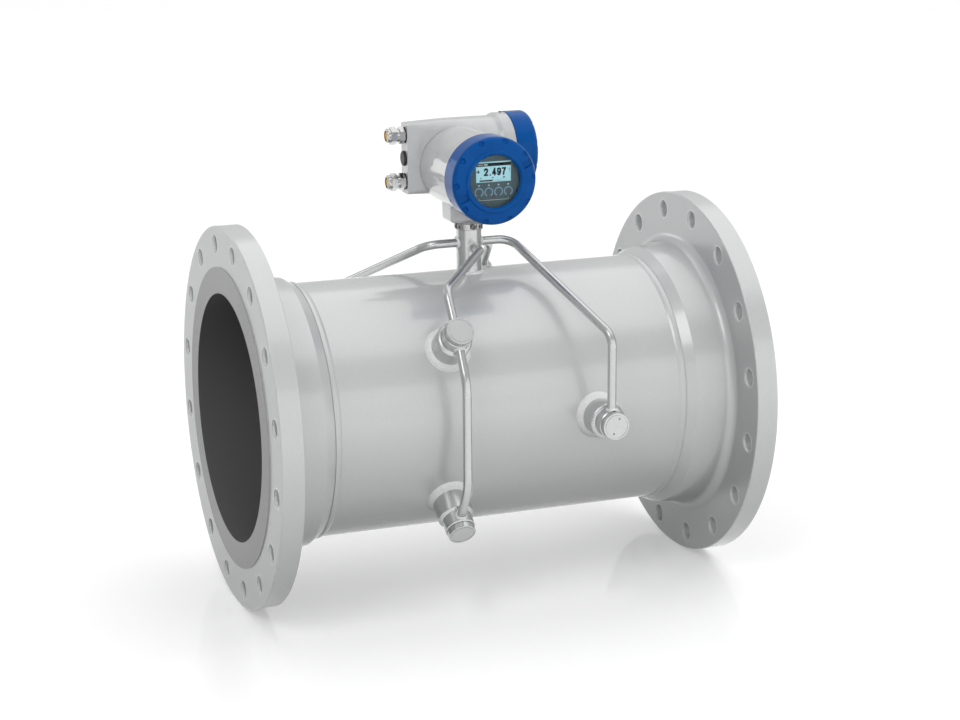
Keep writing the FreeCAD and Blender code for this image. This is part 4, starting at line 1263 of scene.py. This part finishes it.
@dataclass(frozen=True)
class Viewpoint:
    """The photograph's camera: a turn about the stem, a rise, a roll and a distance from what it aims at."""

    azimuth_deg: float = -20.584
    elevation_deg: float = 14.370
    roll_deg: float = -0.429
    distance: float = 3.6328
    aim_right: float = 0.01573
    aim_up: float = 0.05208
    focal_px: float = 2255.8
    frame_px: float = 960.0
    sensor_mm: float = 36.0

    def place(self) -> None:
        """Add the camera and make it the scene's own."""
        back = heading(self.azimuth_deg, self.elevation_deg)
        roll = math.radians(self.roll_deg)
        level = AXIS_Z.cross(back).normalized()
        rise = back.cross(level)
        right = level * math.cos(roll) + rise * math.sin(roll)
        up = rise * math.cos(roll) - level * math.sin(roll)
        lens = bpy.data.cameras.new("camera")
        lens.sensor_width = self.sensor_mm
        lens.lens = self.focal_px / self.frame_px * self.sensor_mm
        camera = bpy.data.objects.new("camera", lens)
        bpy.context.scene.collection.objects.link(camera)
        eye = right * self.aim_right + up * self.aim_up + back * self.distance
        turn = Matrix((right, up, back)).transposed().to_4x4()
        camera.matrix_world = Matrix.Translation(eye) @ turn
        bpy.context.scene.camera = camera


@dataclass
class Studio:
    """White floor, soft sky and a few softboxes."""

    floor_side: float = 80.0
    floor_roughness: float = 0.08
    floor_lift: float = 0.25
    # Distance from the pipe's axis over which the light that the floor throws back grows, and its two ends.
    shade_start: float = 0.35
    shade_end: float = 1.0
    shade_dark: str = "#0c0c0c"
    shade_light: str = "#f4f4f4"
    # Rise of the line of sight over which the sky brightens, and its two strengths.
    sky_start: float = 0.05
    sky_end: float = 0.35
    sky_low: float = 0.50
    sky_high: float = 0.55
    boxes: tuple[Softbox, ...] = (
        Softbox(15, 8, 1.9, 0.32, 0.80, 0.05),
        Softbox(115, 68, 0.62, 0.34, 0.85, 0.30),
        Softbox(-50, 45, 0.16, 0.16, 2.60, 0.10),
        Softbox(180, 20, 2.2, 0.45, 0.10, 0.25),
        Softbox(-155, 6, 0.10, 0.12, 1.40, 0.02),
    )

    def build(self) -> None:
        """Set up the world, the floor and the camera."""
        bpy.context.scene.view_settings.view_transform = "Standard"
        self.light()
        self.lay_floor()
        Viewpoint().place()

    def light(self) -> None:
        """Fill the world with a soft sky and the softboxes."""
        world = bpy.data.worlds.new("studio")
        bpy.context.scene.world = world
        world.use_nodes = True
        tree = world.node_tree
        sight = add_node(tree, "ShaderNodeTexCoord").outputs["Generated"]
        axes = add_node(tree, "ShaderNodeSeparateXYZ", {}, {"Vector": sight})
        total = add_node(tree, "ShaderNodeMapRange",
                         {"From Min": self.sky_start, "From Max": self.sky_end,
                          "To Min": self.sky_low, "To Max": self.sky_high},
                         {"Value": axes.outputs["Z"]})
        for box in self.boxes:
            total = add_node(tree, "ShaderNodeMath", {"operation": "ADD"},
                             {0: total, 1: box.add(tree, sight)})
        tree.links.new(total.outputs["Value"], tree.nodes["Background"].inputs["Strength"])
        tree.nodes["Background"].inputs["Color"].default_value = linear(WHITE)

    def lay_floor(self) -> None:
        """Lay a square white floor at the lowest point of the flanges."""
        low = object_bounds()[0].z
        draft = MeshDraft([Vector((u * self.floor_side, v * self.floor_side, low)) for u, v in SQUARE],
                          [(0, 1, 2, 3)])
        floor = bpy.data.objects.new("floor", draft.mesh("floor", False))
        bpy.context.scene.collection.objects.link(floor)
        floor.data.materials.append(self.floor_material())
        floor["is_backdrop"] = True

    def floor_material(self) -> Material:
        """Make the gloss floor: white to look at, but near the pipe it throws back little light.

        Returns:
            The finished node material.
        """
        material = Finish("white_acrylic_sheet", WHITE, self.floor_roughness).build()
        tree = material.node_tree
        shader = tree.nodes["Principled BSDF"]
        rays = add_node(tree, "ShaderNodeLightPath")
        seen = rays.outputs["Is Camera Ray"]
        for kind in ("Is Glossy Ray", "Is Transmission Ray"):
            seen = add_node(tree, "ShaderNodeMath", {"operation": "MAXIMUM"},
                            {0: seen, 1: rays.outputs[kind]}).outputs["Value"]
        place = add_node(tree, "ShaderNodeTexCoord")
        axes = add_node(tree, "ShaderNodeSeparateXYZ", {}, {"Vector": place.outputs["Object"]})
        aside = add_node(tree, "ShaderNodeMath", {"operation": "ABSOLUTE"}, {0: axes.outputs["Y"]})
        open_floor = add_node(tree, "ShaderNodeMapRange",
                              {"interpolation_type": "SMOOTHSTEP", "From Min": self.shade_start,
                               "From Max": self.shade_end}, {"Value": aside})
        bounce = add_node(tree, "ShaderNodeMix",
                          {"data_type": "RGBA", 6: linear(self.shade_dark), 7: linear(self.shade_light)},
                          {0: open_floor})
        shade = add_node(tree, "ShaderNodeMix", {"data_type": "RGBA", 7: linear(WHITE)},
                         {0: seen, 6: bounce.outputs[2]})
        lift = add_node(tree, "ShaderNodeMath", {"operation": "MULTIPLY", 1: self.floor_lift}, {0: seen})
        tree.links.new(shade.outputs[2], shader.inputs["Base Color"])
        tree.links.new(lift.outputs["Value"], shader.inputs["Emission Strength"])
        return material


def main() -> None:
    """Dress the meter, one sub-assembly after another."""
    logging.basicConfig(level=logging.INFO, format="%(name)s: %(message)s")
    shop = Workshop(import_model())
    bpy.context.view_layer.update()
    Studio().build()
    for assembly in (Spool(shop), SensorSet(shop), ConverterHead(shop), DisplayPrint(shop)):
        assembly.dress()


if __name__ == "__main__":
    main()
